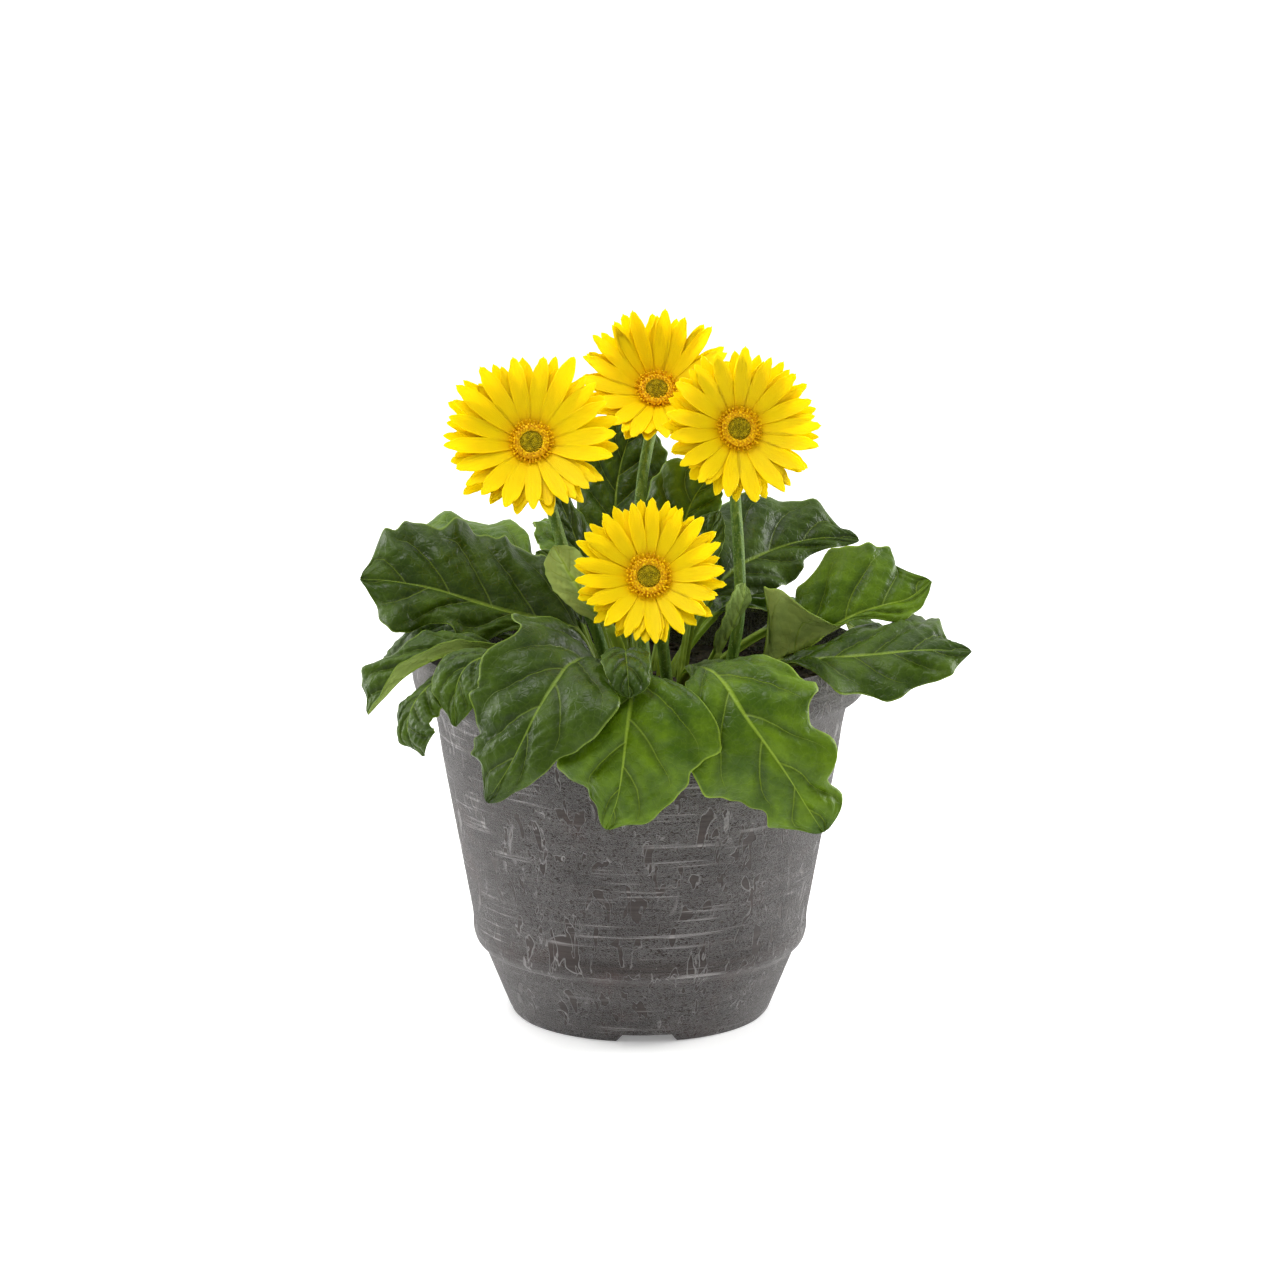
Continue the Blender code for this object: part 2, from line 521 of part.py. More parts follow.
def make_rays(name, frame, reach, tilt, width, draw):
    """Both layers of ray florets, fused to the receptacle that they grow from."""
    core = spin_profile([(0.0, CORE_BACK), (CORE_RADIUS * 0.9, CORE_BACK),
                         (CORE_RADIUS, CORE_BACK + 1.0), (CORE_RADIUS, CORE_FRONT - 0.6),
                         (CORE_RADIUS * 0.92, CORE_FRONT), (0.0, CORE_FRONT)], 17)
    core.transform(frame)
    base = new_object(name, core, material("ray_yellow", (0.83, 0.60, 0.003), 0.5))
    rays = []
    for layer, (lean, back) in enumerate(((tilt + 3.0, -4.2), (tilt - 5.0, -5.1))):
        for number in range(RAYS_IN_LAYER):
            share = (number + 0.5 * layer + draw.uniform(-0.1, 0.1)) / RAYS_IN_LAYER
            length = reach * draw.uniform(0.93, 1.02)
            rays.append(make_ray(f"{name}_ray_{layer}_{number}", frame, math.tau * share, length,
                                 width * draw.uniform(0.9, 1.05), lean + draw.uniform(-2, 2),
                                 back, draw.uniform(-6, 6)))
    combine(base, rays, "UNION")


def make_collar(name, frame, draw):
    """The ring of small inner florets: rows of points raised from a turned ring."""
    base_level = CORE_FRONT + GAP
    rows = [(COLLAR_INNER, 0.8), (8.4, 3.2), (10.4, 3.0), (12.2, 2.4), (COLLAR_FOOT, 0.0)]
    profile = [(COLLAR_INNER, base_level)]
    profile += [(r, base_level + h) for r, h in rows] + [(COLLAR_INNER, base_level)]
    sides = 20
    bm = spin_profile(profile, sides)
    for vert in bm.verts:
        radius = vert.co.to_2d().length
        step = round(math.atan2(vert.co.y, vert.co.x) / math.tau * sides)
        row = round(radius * 1.3)
        if vert.co.z > base_level + 1.5 and (step + row) % 2 == 0:
            lift = draw.uniform(1.0, 1.8)
            vert.co.z += lift
            vert.co.x *= 1.0 + 0.05 * lift
            vert.co.y *= 1.0 + 0.05 * lift
    bm.transform(frame)
    new_object(name, bm, material("collar_amber", (0.72, 0.36, 0.008), 0.6), 20.0)


def make_centre(name, frame, draw):
    """The green middle: a low dome whose buds are raised by a rule."""
    base_level = CORE_FRONT + GAP
    outer = COLLAR_INNER - GAP
    profile = [(0.0, base_level), (outer, base_level), (outer, base_level + 1.8),
               (4.8, base_level + 3.2), (3.2, base_level + 3.4), (1.6, base_level + 2.8),
               (0.0, base_level + 2.4)]
    sides = 14
    bm = spin_profile(profile, sides)
    for vert in bm.verts:
        radius = vert.co.to_2d().length
        step = round(math.atan2(vert.co.y, vert.co.x) / math.tau * sides)
        if vert.co.z > base_level + 2.6 and radius > 1.0 and (step + round(radius)) % 2 == 0:
            vert.co.z += draw.uniform(0.6, 1.0)
    bm.transform(frame)
    new_object(name, bm, material("centre_green", (0.20, 0.21, 0.012), 0.6), 20.0)


def make_stem(name, frame, path_points, draw):
    """A leafless flower stem that widens into the cup of bracts behind the bloom."""
    back = CORE_BACK - GAP
    cup_points = [frame @ Vector((0, 0, back + z)) for z in (-17.0, -9.0)]
    path, length = even_path(path_points + [tuple(p) for p in cup_points])
    rows = 9
    soil_share = (SOIL_TOP + 2.0 - FOOT_LEVEL) / length
    shares = [0.0] + [soil_share + (1.0 - soil_share) * i / (rows - 1) for i in range(rows)]
    stations = [(path(share), STEM_RADIUS * (1.0 - 0.06 * share)) for share in shares]
    look = (frame.to_3x3() @ Vector((0, 0, 1))).normalized()
    cup = [(-7.0, 4.4), (-4.8, 7.2), (-2.4, 9.0), (0.0, CUP_RADIUS)]
    places = [(Vector(p), radius, None) for p, radius in stations]
    places += [(frame @ Vector((0, 0, back + z)), radius, look) for z, radius in cup]
    across = Vector((1, 0, 0))
    bm = bmesh.new()
    loops = []
    for number, (spot, radius, way) in enumerate(places):
        if way is None:
            ahead = places[number + 1][0] - spot
            behind = spot - places[max(number - 1, 0)][0]
            way = (ahead.normalized() + behind.normalized()).normalized()
        across = (across - across.dot(way) * way).normalized()
        second = way.cross(across)
        loop = []
        for side in range(STEM_SIDES):
            turn = math.tau * side / STEM_SIDES
            reach = radius * (1.0 + (0.12 if number > rows and side % 2 else 0.0))
            loop.append(bm.verts.new(spot + (across * math.cos(turn) + second * math.sin(turn))
                                     * reach))
        loops.append(loop)
    for one, two in zip(loops, loops[1:]):
        for side in range(STEM_SIDES):
            after = (side + 1) % STEM_SIDES
            bm.faces.new((one[side], one[after], two[after], two[side]))
    bm.faces.new(list(reversed(loops[0])))
    bm.faces.new(loops[-1])
    bmesh.ops.recalc_face_normals(bm, faces=bm.faces)
    new_object(name, bm, material("stem_green", (0.12, 0.20, 0.04), 0.5), 60.0)
    feet.append((path_points[0][0], path_points[0][1], STEM_HOLE))


def make_bloom(name, seed, centre, elevation, turn, reach, tilt, width, stem):
    """One bloom on its stem, as four solids that sit face to face."""
    draw = random.Random(seed)
    frame = bloom_frame(centre, elevation, turn)
    make_rays(f"{name}_rays", frame, reach, tilt, width, draw)
    make_collar(f"{name}_inner_florets", frame, draw)
    make_centre(f"{name}_centre", frame, draw)
    make_stem(f"{name}_stem", frame, stem, draw)


make_bloom("bloom_left", 11, (-63, -20, 346), 28, -1, 52.5, 27, 9.8,
           [(-16, -24, 200), (-26, -30, 237), (-38, -28, 264), (-47, -20, 290),
            (-55, -8, 315)])
make_bloom("bloom_top", 12, (10, 48, 367), 40.5, 0, 48.8, 31, 9.4,
           [(4, 4, 200), (-1, 22, 250), (0, 40, 300), (4, 54, 328)])
make_bloom("bloom_right", 13, (58, -10, 352), 19, 8, 47.8, 26, 9.2,
           [(52, -4, 200), (58, -9, 240), (58, -4, 275), (56, 6, 305),
            (55, 16, 328)])
make_bloom("bloom_front", 14, (5, -90, 280), 28, 0, 45, 25.5, 8.4,
           [(16, -54, 200), (14, -58, 225), (11, -63, 245)])

make_pot()
make_soil(feet)
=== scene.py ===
import json
import math
import random
import bmesh
import bpy
import numpy as np
from mathutils import Matrix, Vector, noise

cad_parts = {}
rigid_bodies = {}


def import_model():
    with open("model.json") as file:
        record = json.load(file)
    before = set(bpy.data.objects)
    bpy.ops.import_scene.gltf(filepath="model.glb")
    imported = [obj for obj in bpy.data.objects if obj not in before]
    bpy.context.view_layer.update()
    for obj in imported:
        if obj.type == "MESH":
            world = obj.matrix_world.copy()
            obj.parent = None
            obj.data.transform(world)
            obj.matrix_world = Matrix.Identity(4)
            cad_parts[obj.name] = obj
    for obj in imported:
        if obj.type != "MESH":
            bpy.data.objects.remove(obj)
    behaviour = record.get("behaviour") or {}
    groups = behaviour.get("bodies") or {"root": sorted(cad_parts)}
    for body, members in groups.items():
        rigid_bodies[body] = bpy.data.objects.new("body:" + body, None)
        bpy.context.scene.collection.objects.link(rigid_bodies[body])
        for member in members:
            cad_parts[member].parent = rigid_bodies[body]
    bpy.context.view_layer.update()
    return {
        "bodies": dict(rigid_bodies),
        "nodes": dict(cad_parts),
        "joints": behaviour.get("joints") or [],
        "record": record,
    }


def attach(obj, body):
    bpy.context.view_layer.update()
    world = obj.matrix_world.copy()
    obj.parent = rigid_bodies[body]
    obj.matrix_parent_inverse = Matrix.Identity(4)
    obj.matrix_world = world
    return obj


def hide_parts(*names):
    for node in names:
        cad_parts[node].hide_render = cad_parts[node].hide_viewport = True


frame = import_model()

# The planter: one moulded resin shell, turned about its own axis, with a rolled lip, a low
# ledge, and four notches and drain holes cut out below. Its face is cast in the likeness
# of worn stone: rough grain, smooth islands with pale rims, and brushed streaks.
MM = 0.001
AXIS_X = -12.5
AXIS_Y = 4.3
POT_STEPS = 144
OUTSIDE = [
    (75.5, 0.0), (77.4, 2.0), (92.9, 40.0), (97.6, 44.0), (99.6, 50.0), (99.7, 60.0),
    (117.3, 157.0), (120.0, 176.5), (123.0, 190.0), (132.4, 195.6), (134.6, 203.6),
    (135.0, 216.5), (133.3, 220.2), (130.8, 221.0), (127.6, 218.6),
]
INSIDE = [
    (125.5, 196.0), (118.6, 188.0), (95.7, 60.0), (94.0, 46.0), (89.0, 40.0), (76.0, 12.0),
    (72.0, 9.0),
]
UNDERSIDE = [(0.0, 5.0), (66.0, 5.0), (67.0, 0.0)]
POT_FLOOR = 9.0
NOTCHES = 4
NOTCH_TURN = 3.0
NOTCH_TOP_WIDTH = 29.0
NOTCH_FOOT_WIDTH = 37.4
NOTCH_INNER = 55.0
NOTCH_OUTER = 100.0
NOTCH_HEIGHT = 4.8
NOTCH_BELOW = -1.0
DRAIN_RING = 44.0
DRAIN_RADIUS = 5.0
DRAIN_DEPTH = 20.0
STONE_DARK = (0.020, 0.014, 0.012)
STONE_MID = (0.046, 0.036, 0.032)
STONE_DEEP = (0.017, 0.013, 0.012)
STONE_RUST = (0.056, 0.031, 0.026)
STONE_SMOOTH = (0.034, 0.026, 0.024)
STONE_PALE = (0.28, 0.265, 0.26)


def rounded(points, steps=4, reach=0.42):
    """Softens each corner of a profile with a short curve, as a mould does."""
    out = [points[0]]
    for before, corner, after in zip(points, points[1:], points[2:]):
        b, c, a = (Vector(p) for p in (before, corner, after))
        cut = min((b - c).length, (a - c).length, 12.0) * reach
        start = c + (b - c).normalized() * cut
        end = c + (a - c).normalized() * cut
        for i in range(steps + 1):
            t = i / steps
            spot = start * (1 - t) ** 2 + c * 2 * t * (1 - t) + end * t ** 2
            out.append((spot.x, spot.y))
    return out + [points[-1]]


def turned(profile, steps):
    """A solid turned about the planter's axis from a profile of (radius, height)."""
    bm = bmesh.new()
    verts = [bm.verts.new((r, 0.0, z)) for r, z in profile]
    edges = [bm.edges.new(pair) for pair in zip(verts, verts[1:])]
    bmesh.ops.spin(bm, geom=verts + edges, cent=(0, 0, 0), axis=(0, 0, 1),
                   angle=math.tau, steps=steps, use_merge=True)
    bmesh.ops.remove_doubles(bm, verts=bm.verts, dist=0.001)
    bmesh.ops.recalc_face_normals(bm, faces=bm.faces)
    return bm


def placed(name, bm, shift=(AXIS_X, AXIS_Y, 0.0), angle=35.0):
    """Makes an object of a mesh built in millimetres about the planter's axis. Below 180
    degrees, edges that turn by more than the angle are shaded sharp."""
    bmesh.ops.translate(bm, vec=shift, verts=bm.verts)
    bmesh.ops.scale(bm, vec=(MM, MM, MM), verts=bm.verts)
    mesh = bpy.data.meshes.new(name)
    bm.to_mesh(mesh)
    bm.free()
    mesh.shade_smooth()
    if angle < 180.0:
        mesh.set_sharp_from_angle(angle=math.radians(angle))
    made = bpy.data.objects.new(name, mesh)
    bpy.context.scene.collection.objects.link(made)
    return made


class Surface:
    """A material whose nodes are added and linked by short calls."""

    def __init__(self, name, roughness):
        self.made = bpy.data.materials.new(name)
        self.made.use_nodes = True
        self.tree = self.made.node_tree
        self.shader = self.tree.nodes["Principled BSDF"]
        self.tune(Roughness=roughness)

    def tune(self, **inputs):
        """Sets inputs of the shader itself, named with _ for each space."""
        for key, value in inputs.items():
            self.shader.inputs[key.replace("_", " ")].default_value = value

    def add(self, kind, output=0, settings=None, **inputs):
        """Adds a node; an input may be a number, a colour or another node's output."""
        node = self.tree.nodes.new("ShaderNode" + kind)
        for key, value in (settings or {}).items():
            setattr(node, key, value)
        for key, value in inputs.items():
            numbered = key[1:].isdigit()
            slot = node.inputs[int(key[1:]) if numbered else key.replace("_", " ")]
            if hasattr(value, "is_linked"):
                self.tree.links.new(value, slot)
            else:
                slot.default_value = value
        return node.outputs[output]

    def maths(self, operation, a, b=0.0, c=0.0, clamp=False):
        """One arithmetic node."""
        how = {"operation": operation, "use_clamp": clamp}
        return self.add("Math", settings=how, i0=a, i1=b, i2=c)

    def times(self, a, b):
        """The product of two values."""
        return self.maths("MULTIPLY", a, b)

    def parts(self, vector):
        """The three parts of a vector."""
        node = self.tree.nodes.new("ShaderNodeSeparateXYZ")
        self.tree.links.new(vector, node.inputs[0])
        return node.outputs[0], node.outputs[1], node.outputs[2]

    def ramp(self, value, low, high, out_low=0.0, out_high=1.0):
        """Maps a span of values smoothly onto another."""
        return self.add("MapRange", settings={"interpolation_type": "SMOOTHSTEP"}, i0=value,
                        i1=low, i2=high, i3=out_low, i4=out_high)

    def mix(self, share, a, b):
        """Mixes two colours."""
        node = self.tree.nodes.new("ShaderNodeMix")
        node.data_type = "RGBA"
        slots = (node.inputs["Factor"], node.inputs[6], node.inputs[7])
        for slot, value in zip(slots, (share, a, b)):
            if hasattr(value, "is_linked"):
                self.tree.links.new(value, slot)
            elif slot.type == "VALUE":
                slot.default_value = value
            else:
                slot.default_value = (*value, 1.0)
        return node.outputs[2]

    def place(self, scale=(1, 1, 1), shift=(0, 0, 0)):
        """The object's own coordinates, stretched by a scale per metre."""
        where = self.add("TexCoord", output=3)
        return self.add("Mapping", Vector=where, Scale=scale, Location=shift)

    def noise(self, vector, scale=1.0, detail=3.0, rough=0.55, distort=0.0):
        """A noise pattern, 0 to 1."""
        return self.add("TexNoise", Vector=vector, Scale=scale, Detail=detail, Roughness=rough,
                        Distortion=distort)

    def finish(self, colour, roughness, height, depth, strength):
        """Links the colour, the roughness if it varies, and the relief to the shader."""
        self.tree.links.new(colour, self.shader.inputs["Base Color"])
        if roughness is not None:
            self.tree.links.new(roughness, self.shader.inputs["Roughness"])
        bump = self.add("Bump", Strength=strength, Distance=depth, Height=height)
        self.tree.links.new(bump, self.shader.inputs["Normal"])
        return self.made


stone = Surface("planter_stone", 0.8)
stone.tune(Sheen_Weight=0.34, Sheen_Roughness=0.45, Specular_IOR_Level=0.25)
level = stone.parts(stone.place())[2]
ledge_band = stone.times(stone.ramp(level, 0.034, 0.042), stone.ramp(level, 0.060, 0.050))
patches = stone.noise(stone.place((150, 150, 62)), detail=2.0, rough=0.45, distort=0.6)
blots = stone.noise(stone.place((62, 62, 30), (0.3, 0.1, 0.7)), detail=2.5, rough=0.5, distort=0.5)
patch = stone.maths("MAXIMUM", stone.ramp(patches, 0.612, 0.632), stone.ramp(blots, 0.655, 0.668))
patch_rim = stone.times(stone.ramp(patches, 0.588, 0.610), stone.ramp(patches, 0.638, 0.616))
blot_rim = stone.times(stone.ramp(blots, 0.640, 0.655), stone.ramp(blots, 0.672, 0.658))
rim_line = stone.maths("MAXIMUM", patch_rim, blot_rim)
smooth_face = stone.maths("MAXIMUM", patch, stone.times(ledge_band, 0.75))
rough_face = stone.maths("SUBTRACT", 1.0, smooth_face)
worm = stone.noise(stone.place((0.75, 0.75, 1.35)), scale=470.0, detail=1.5, rough=0.6, distort=1.8)
worm_away = stone.maths("ABSOLUTE", stone.maths("SUBTRACT", worm, 0.52))
ridge = stone.maths("SUBTRACT", 1.0, stone.times(worm_away, 11.0), clamp=True)
ridge = stone.times(ridge, rough_face)
grain = stone.noise(stone.place(), scale=1000.0, detail=2.0, rough=0.7)
brushed = stone.noise(stone.place((9, 9, 620)), detail=4.0, rough=0.6)
streak = stone.noise(stone.place((13, 13, 560), (0.2, 0.5, 0.13)), detail=3.0, rough=0.55)
streak_zone = stone.noise(stone.place((15, 15, 42), (0.6, 0.2, 0.4)), detail=2.0)
streaks = stone.times(stone.ramp(streak, 0.55, 0.66), stone.ramp(streak_zone, 0.47, 0.60))
wear = stone.noise(stone.place((22, 22, 30)), detail=4.0, rough=0.65)
tint = stone.noise(stone.place((20, 20, 30), (0.9, 0.2, 0.3)), detail=3.0)
pale = stone.times(rim_line, stone.ramp(wear, 0.40, 0.60, 0.12, 0.75))
pale = stone.maths("MAXIMUM", pale, stone.times(streaks, 0.80))
ridge_pale = stone.times(ridge, stone.ramp(wear, 0.36, 0.64, 0.15, 0.48))
pale = stone.maths("MAXIMUM", pale, ridge_pale)
body_colour = stone.mix(stone.ramp(brushed, 0.38, 0.62), STONE_DARK, STONE_MID)
body_colour = stone.mix(stone.ramp(grain, 0.38, 0.62, 0.35, 0.0), body_colour, STONE_DEEP)
body_colour = stone.mix(stone.ramp(tint, 0.56, 0.72, 0.0, 0.5), body_colour, STONE_RUST)
body_colour = stone.mix(stone.times(patch, 0.35), body_colour, STONE_SMOOTH)
body_colour = stone.mix(pale, body_colour, STONE_PALE)
height = stone.maths("MULTIPLY_ADD", stone.times(grain, rough_face), 0.8, ridge)
for pattern, share in ((rim_line, 0.7), (brushed, 0.5), (patch, -0.3)):
    height = stone.maths("MULTIPLY_ADD", pattern, share, height)
dullness = stone.ramp(patch, 0.0, 1.0, 0.85, 0.62)
planter_stone = stone.finish(body_colour, dullness, height, 0.0007, 1.0)

planter_profile = UNDERSIDE + rounded(OUTSIDE) + rounded(INSIDE)[1:] + [(0.0, POT_FLOOR)]
planter = placed("planter_shell", turned(planter_profile, POT_STEPS), angle=180.0)
planter.data.materials.append(planter_stone)
for number in range(NOTCHES):
    bm = bmesh.new()
    bmesh.ops.create_cube(bm, size=1.0)
    for vert in bm.verts:
        vert.co.y *= NOTCH_TOP_WIDTH if vert.co.z > 0 else NOTCH_FOOT_WIDTH
        vert.co.x = NOTCH_INNER if vert.co.x < 0 else NOTCH_OUTER
        vert.co.z = NOTCH_HEIGHT if vert.co.z > 0 else NOTCH_BELOW
    quarter = 90.0 * number
    turn = Matrix.Rotation(math.radians(NOTCH_TURN - 90.0 + quarter), 3, "Z")
    bmesh.ops.rotate(bm, cent=(0, 0, 0), matrix=turn, verts=bm.verts)
    way = math.radians(NOTCH_TURN - 45.0 + quarter)
    spot = Matrix.Translation((DRAIN_RING * math.cos(way), DRAIN_RING * math.sin(way), POT_FLOOR))
    bmesh.ops.create_cone(bm, cap_ends=True, segments=32, radius1=DRAIN_RADIUS,
                          radius2=DRAIN_RADIUS, depth=DRAIN_DEPTH, matrix=spot)
    cutter = placed(f"notch_cutter_{number}", bm)
    cut = planter.modifiers.new("notch", "BOOLEAN")
    cut.object = cutter
    cut.solver = "EXACT"
    settled = bpy.context.evaluated_depsgraph_get()
    shaped = bpy.data.meshes.new_from_object(planter.evaluated_get(settled))
    planter.modifiers.remove(cut)
    planter.data = shaped
    bpy.data.objects.remove(cutter, do_unlink=True)
planter.data.set_sharp_from_angle(angle=math.radians(50))
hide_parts("planter")
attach(planter, "root")

# The soil: dark potting mix that fills the planter to just under its lip, lumpy on top,
# with loose crumbs of peat and bark lying on it round the stalks.
SOIL_TOP = 198.5
SOIL_FLOOR = 9.4
SOIL_RINGS = 29
CRUMBS = 700
CRUMB_REACH = 116.0
EARTH_WET = (0.008, 0.005, 0.003)
EARTH_MID = (0.060, 0.038, 0.024)
EARTH_DRY = (0.085, 0.058, 0.036)
earth = Surface("potting_mix", 0.95)
clods = earth.noise(earth.place(), scale=180.0, detail=6.0, rough=0.7)
tint = earth.noise(earth.place(), scale=60.0, detail=3.0)
earth_colour = earth.mix(earth.ramp(clods, 0.38, 0.66), EARTH_WET, EARTH_MID)
earth_colour = earth.mix(earth.ramp(tint, 0.55, 0.75, 0.0, 0.4), earth_colour, EARTH_DRY)
potting_mix = earth.finish(earth_colour, None, clods, 0.0025, 1.0)
soil_profile = [(0.0, SOIL_FLOOR), (71.6, SOIL_FLOOR), (88.6, 40.3), (93.6, 46.3), (95.4, 60.0),
                (118.1, 188.0), (122.0, 194.5)]
soil_profile += [(118.0 - 4.0 * ring, SOIL_TOP - 0.8) for ring in range(SOIL_RINGS)]
soil_profile += [(0.0, SOIL_TOP - 0.8)]
bm = turned(soil_profile, 128)
for vert in bm.verts:
    if vert.co.z > SOIL_TOP - 2.0:
        spot = Vector((vert.co.x, vert.co.y, 0.0))
        vert.co.z += 2.6 * noise.noise(spot * 0.11) + 1.4 * noise.noise(spot * 0.35)
crumbs = random.Random(21)
for number in range(CRUMBS):
    turn = crumbs.uniform(0.0, math.tau)
    reach = CRUMB_REACH * math.sqrt(crumbs.random())
    size = crumbs.uniform(0.8, 2.3)
    stand = Matrix.Translation((reach * math.cos(turn), reach * math.sin(turn), SOIL_TOP + 0.2))
    long = size * crumbs.uniform(0.8, 1.6)
    stretch = Matrix.Diagonal((long, size, size * crumbs.uniform(0.5, 0.9), 1.0))
    spin = Matrix.Rotation(crumbs.uniform(0.0, math.tau), 4, "Z")
    bmesh.ops.create_icosphere(bm, subdivisions=1, radius=1.0, matrix=stand @ spin @ stretch)
soil = placed("potting_soil", bm)
soil.data.materials.append(potting_mix)
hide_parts("soil")
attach(soil, "root")

# The leaves: a rosette of broad, lobed blades on grooved stalks. Each is one thin blade
# with a raised midrib below and side veins that quilt the surface between them; the
# margins wave, and the underside is paler and duller than the waxy top. The top carries
# painted shade in the dips of its relief, in the creases beside the veins and towards the stalk.
STALK_FOOT = 188.0
STALK_RISE = 12.0
STALK_HALF_WIDTH = 2.3
STALK_THICK = 4.6
BLADE_THICK = 0.55
KEEL_THICK = 2.6
TIP_ROUNDING = 0.16
VEINS = 5.0
VEIN_SLANT = 0.26
VEIN_CURVE = 1.25
QUILT = 2.3
PUCKER = 0.95
LEAF_COLUMNS = 36
STALK_ROWS = 14
MARGIN_SWAY = 0.022
MARGIN_SWAYS = 6.3
MARGIN_NICK = 0.014
MARGIN_NICKS = 11.0
SMALL_BLADE = 20.0
SWEEP = 0.3


def curve_at(points, f, rise=None):
    """A smooth curve through given points, read at f from 0 to 1. A rise given makes
    it set out straight up."""
    p = np.asarray(points, dtype=float)
    x = min(max(f, 0.0), 1.0) * (len(p) - 1)
    i = min(int(x), len(p) - 2)
    t = x - i
    before = p[i - 1] if i > 0 else 2 * p[0] - p[1]
    if rise and i == 0:
        before = p[1] - np.array([0.0, 0.0, 2.0 * rise])
    after = p[i + 2] if i + 2 < len(p) else 2 * p[-1] - p[-2]
    a, b = p[i], p[i + 1]
    return 0.5 * (2 * a + (b - before) * t + (2 * before - 5 * a + 4 * b - after) * t ** 2
                  + (3 * a - before - 3 * b + after) * t ** 3)


def even_path(points, steps=240):
    """A stalk's path by share of length: straight up in the soil, then a smooth curve."""
    foot = (points[0][0], points[0][1], STALK_FOOT)
    dense = np.array([foot] + [curve_at(points, i / steps, STALK_RISE) for i in range(steps + 1)])
    length = np.concatenate([[0.0], np.cumsum(np.linalg.norm(np.diff(dense, axis=0), axis=1))])

    def at(f):
        return np.array([np.interp(f, length / length[-1], dense[:, k]) for k in range(3)])

    return at


def leaf_green(name, shade, light, vein, under, gloss):
    """The waxy top of a leaf and its dull underside, with veins drawn from the blade's
    own UV map: across it is f along the blade, up it is s from margin to margin."""
    pair = []
    for side in ("top", "under"):
        skin = Surface(f"{name}_{side}", gloss if side == "top" else 0.62)
        where = skin.add("UVMap", settings={"uv_map": "blade"})
        f, s = skin.parts(where)[:2]
        t = skin.maths("ABSOLUTE", s)
        curved = skin.maths("POWER", t, VEIN_CURVE)
        offset = skin.times(skin.maths("GREATER_THAN", s, 0.0), 0.5)
        phase = skin.maths("SUBTRACT", f, skin.times(curved, VEIN_SLANT))
        phase = skin.maths("ADD", skin.times(phase, VEINS), offset)
        away = skin.maths("PINGPONG", phase, 0.5)
        side_width = skin.ramp(t, 0.0, 1.0, 0.040, 0.012)
        side_vein = skin.maths("SUBTRACT", 1.0, skin.maths("DIVIDE", away, side_width), clamp=True)
        side_vein = skin.times(side_vein, skin.ramp(t, 0.98, 0.55))
        on_blade = skin.ramp(f, 0.0, 0.05)
        crease = skin.times(skin.ramp(away, 0.26, 0.0), skin.ramp(t, 1.0, 0.45))
        crease = skin.times(crease, on_blade)
        side_vein = skin.times(side_vein, on_blade)
        rib_width = skin.ramp(f, 0.0, 1.0, 0.050, 0.012)
        rib = skin.maths("SUBTRACT", 1.0, skin.maths("DIVIDE", t, rib_width), clamp=True)
        rib = skin.maths("MAXIMUM", skin.maths("POWER", rib, 0.6), skin.ramp(f, 0.03, -0.01))
        cells = skin.add("TexVoronoi", settings={"feature": "DISTANCE_TO_EDGE"},
                         Vector=skin.place(), Scale=230.0, Randomness=0.9)
        net = skin.ramp(cells, 0.12, 0.0)
        net = skin.times(net, on_blade)
        mottle = skin.noise(skin.place(), scale=45.0, detail=4.0)
        fine = skin.noise(skin.place(), scale=420.0, detail=3.0)
        pucker = skin.noise(skin.place(), scale=85.0, detail=2.0)
        # A darker green, painted on the top face as shade.
        painted_shade = tuple(0.40 * part for part in shade)
        if side == "top":
            colour = skin.mix(skin.ramp(mottle, 0.30, 0.70), shade, light)
            # Painted shade in the low dips of the pucker relief.
            colour = skin.mix(skin.ramp(pucker, 0.42, 0.60, 0.16, 0.0), colour, painted_shade)
            # Painted shade on the blade towards its stalk.
            colour = skin.mix(skin.ramp(f, 0.32, -0.02, 0.0, 0.55), colour, painted_shade)
            # Painted shade in the sunken creases beside the side veins.
            colour = skin.mix(skin.times(crease, 0.50), colour, painted_shade)
            colour = skin.mix(skin.times(net, 0.04), colour, vein)
            colour = skin.mix(skin.times(side_vein, 0.45), colour, vein)
            colour = skin.mix(skin.times(rib, 0.85), colour, vein)
            colour = skin.mix(skin.ramp(t, 0.965, 1.0, 0.0, 0.7), colour, vein)
            roughness = skin.ramp(mottle, 0.3, 0.7, gloss - 0.05, gloss + 0.10)
            shine = 0.15
        else:
            colour = skin.mix(skin.ramp(mottle, 0.3, 0.7, 0.0, 0.3), under, light)
            colour = skin.mix(skin.times(side_vein, 0.8), colour, vein)
            colour = skin.mix(skin.times(rib, 0.9), colour, vein)
            roughness = None
            shine = 0.06
        height = skin.times(net, -0.22)
        for pattern, share in ((side_vein, -0.9), (crease, -1.6), (pucker, 4.0), (mottle, 1.6),
                               (fine, 0.12)):
            height = skin.maths("MULTIPLY_ADD", pattern, share, height)
        skin.tune(Specular_IOR_Level=shine)
        pair.append(skin.finish(colour, roughness, height, 0.0007, 0.7))
    return pair


DARK = ("leaf_dark", leaf_green(
    "leaf_dark", shade=(0.017, 0.037, 0.0005), light=(0.039, 0.074, 0.001),
    vein=(0.17, 0.25, 0.03), under=(0.20, 0.28, 0.07), gloss=0.37))
MID = ("leaf_mid", leaf_green(
    "leaf_mid", shade=(0.020, 0.044, 0.0005), light=(0.046, 0.086, 0.001),
    vein=(0.19, 0.28, 0.03), under=(0.30, 0.39, 0.10), gloss=0.38))
BRIGHT = ("leaf_bright", leaf_green(
    "leaf_bright", shade=(0.034, 0.074, 0.0005), light=(0.088, 0.158, 0.0005),
    vein=(0.24, 0.35, 0.03), under=(0.38, 0.48, 0.13), gloss=0.38))


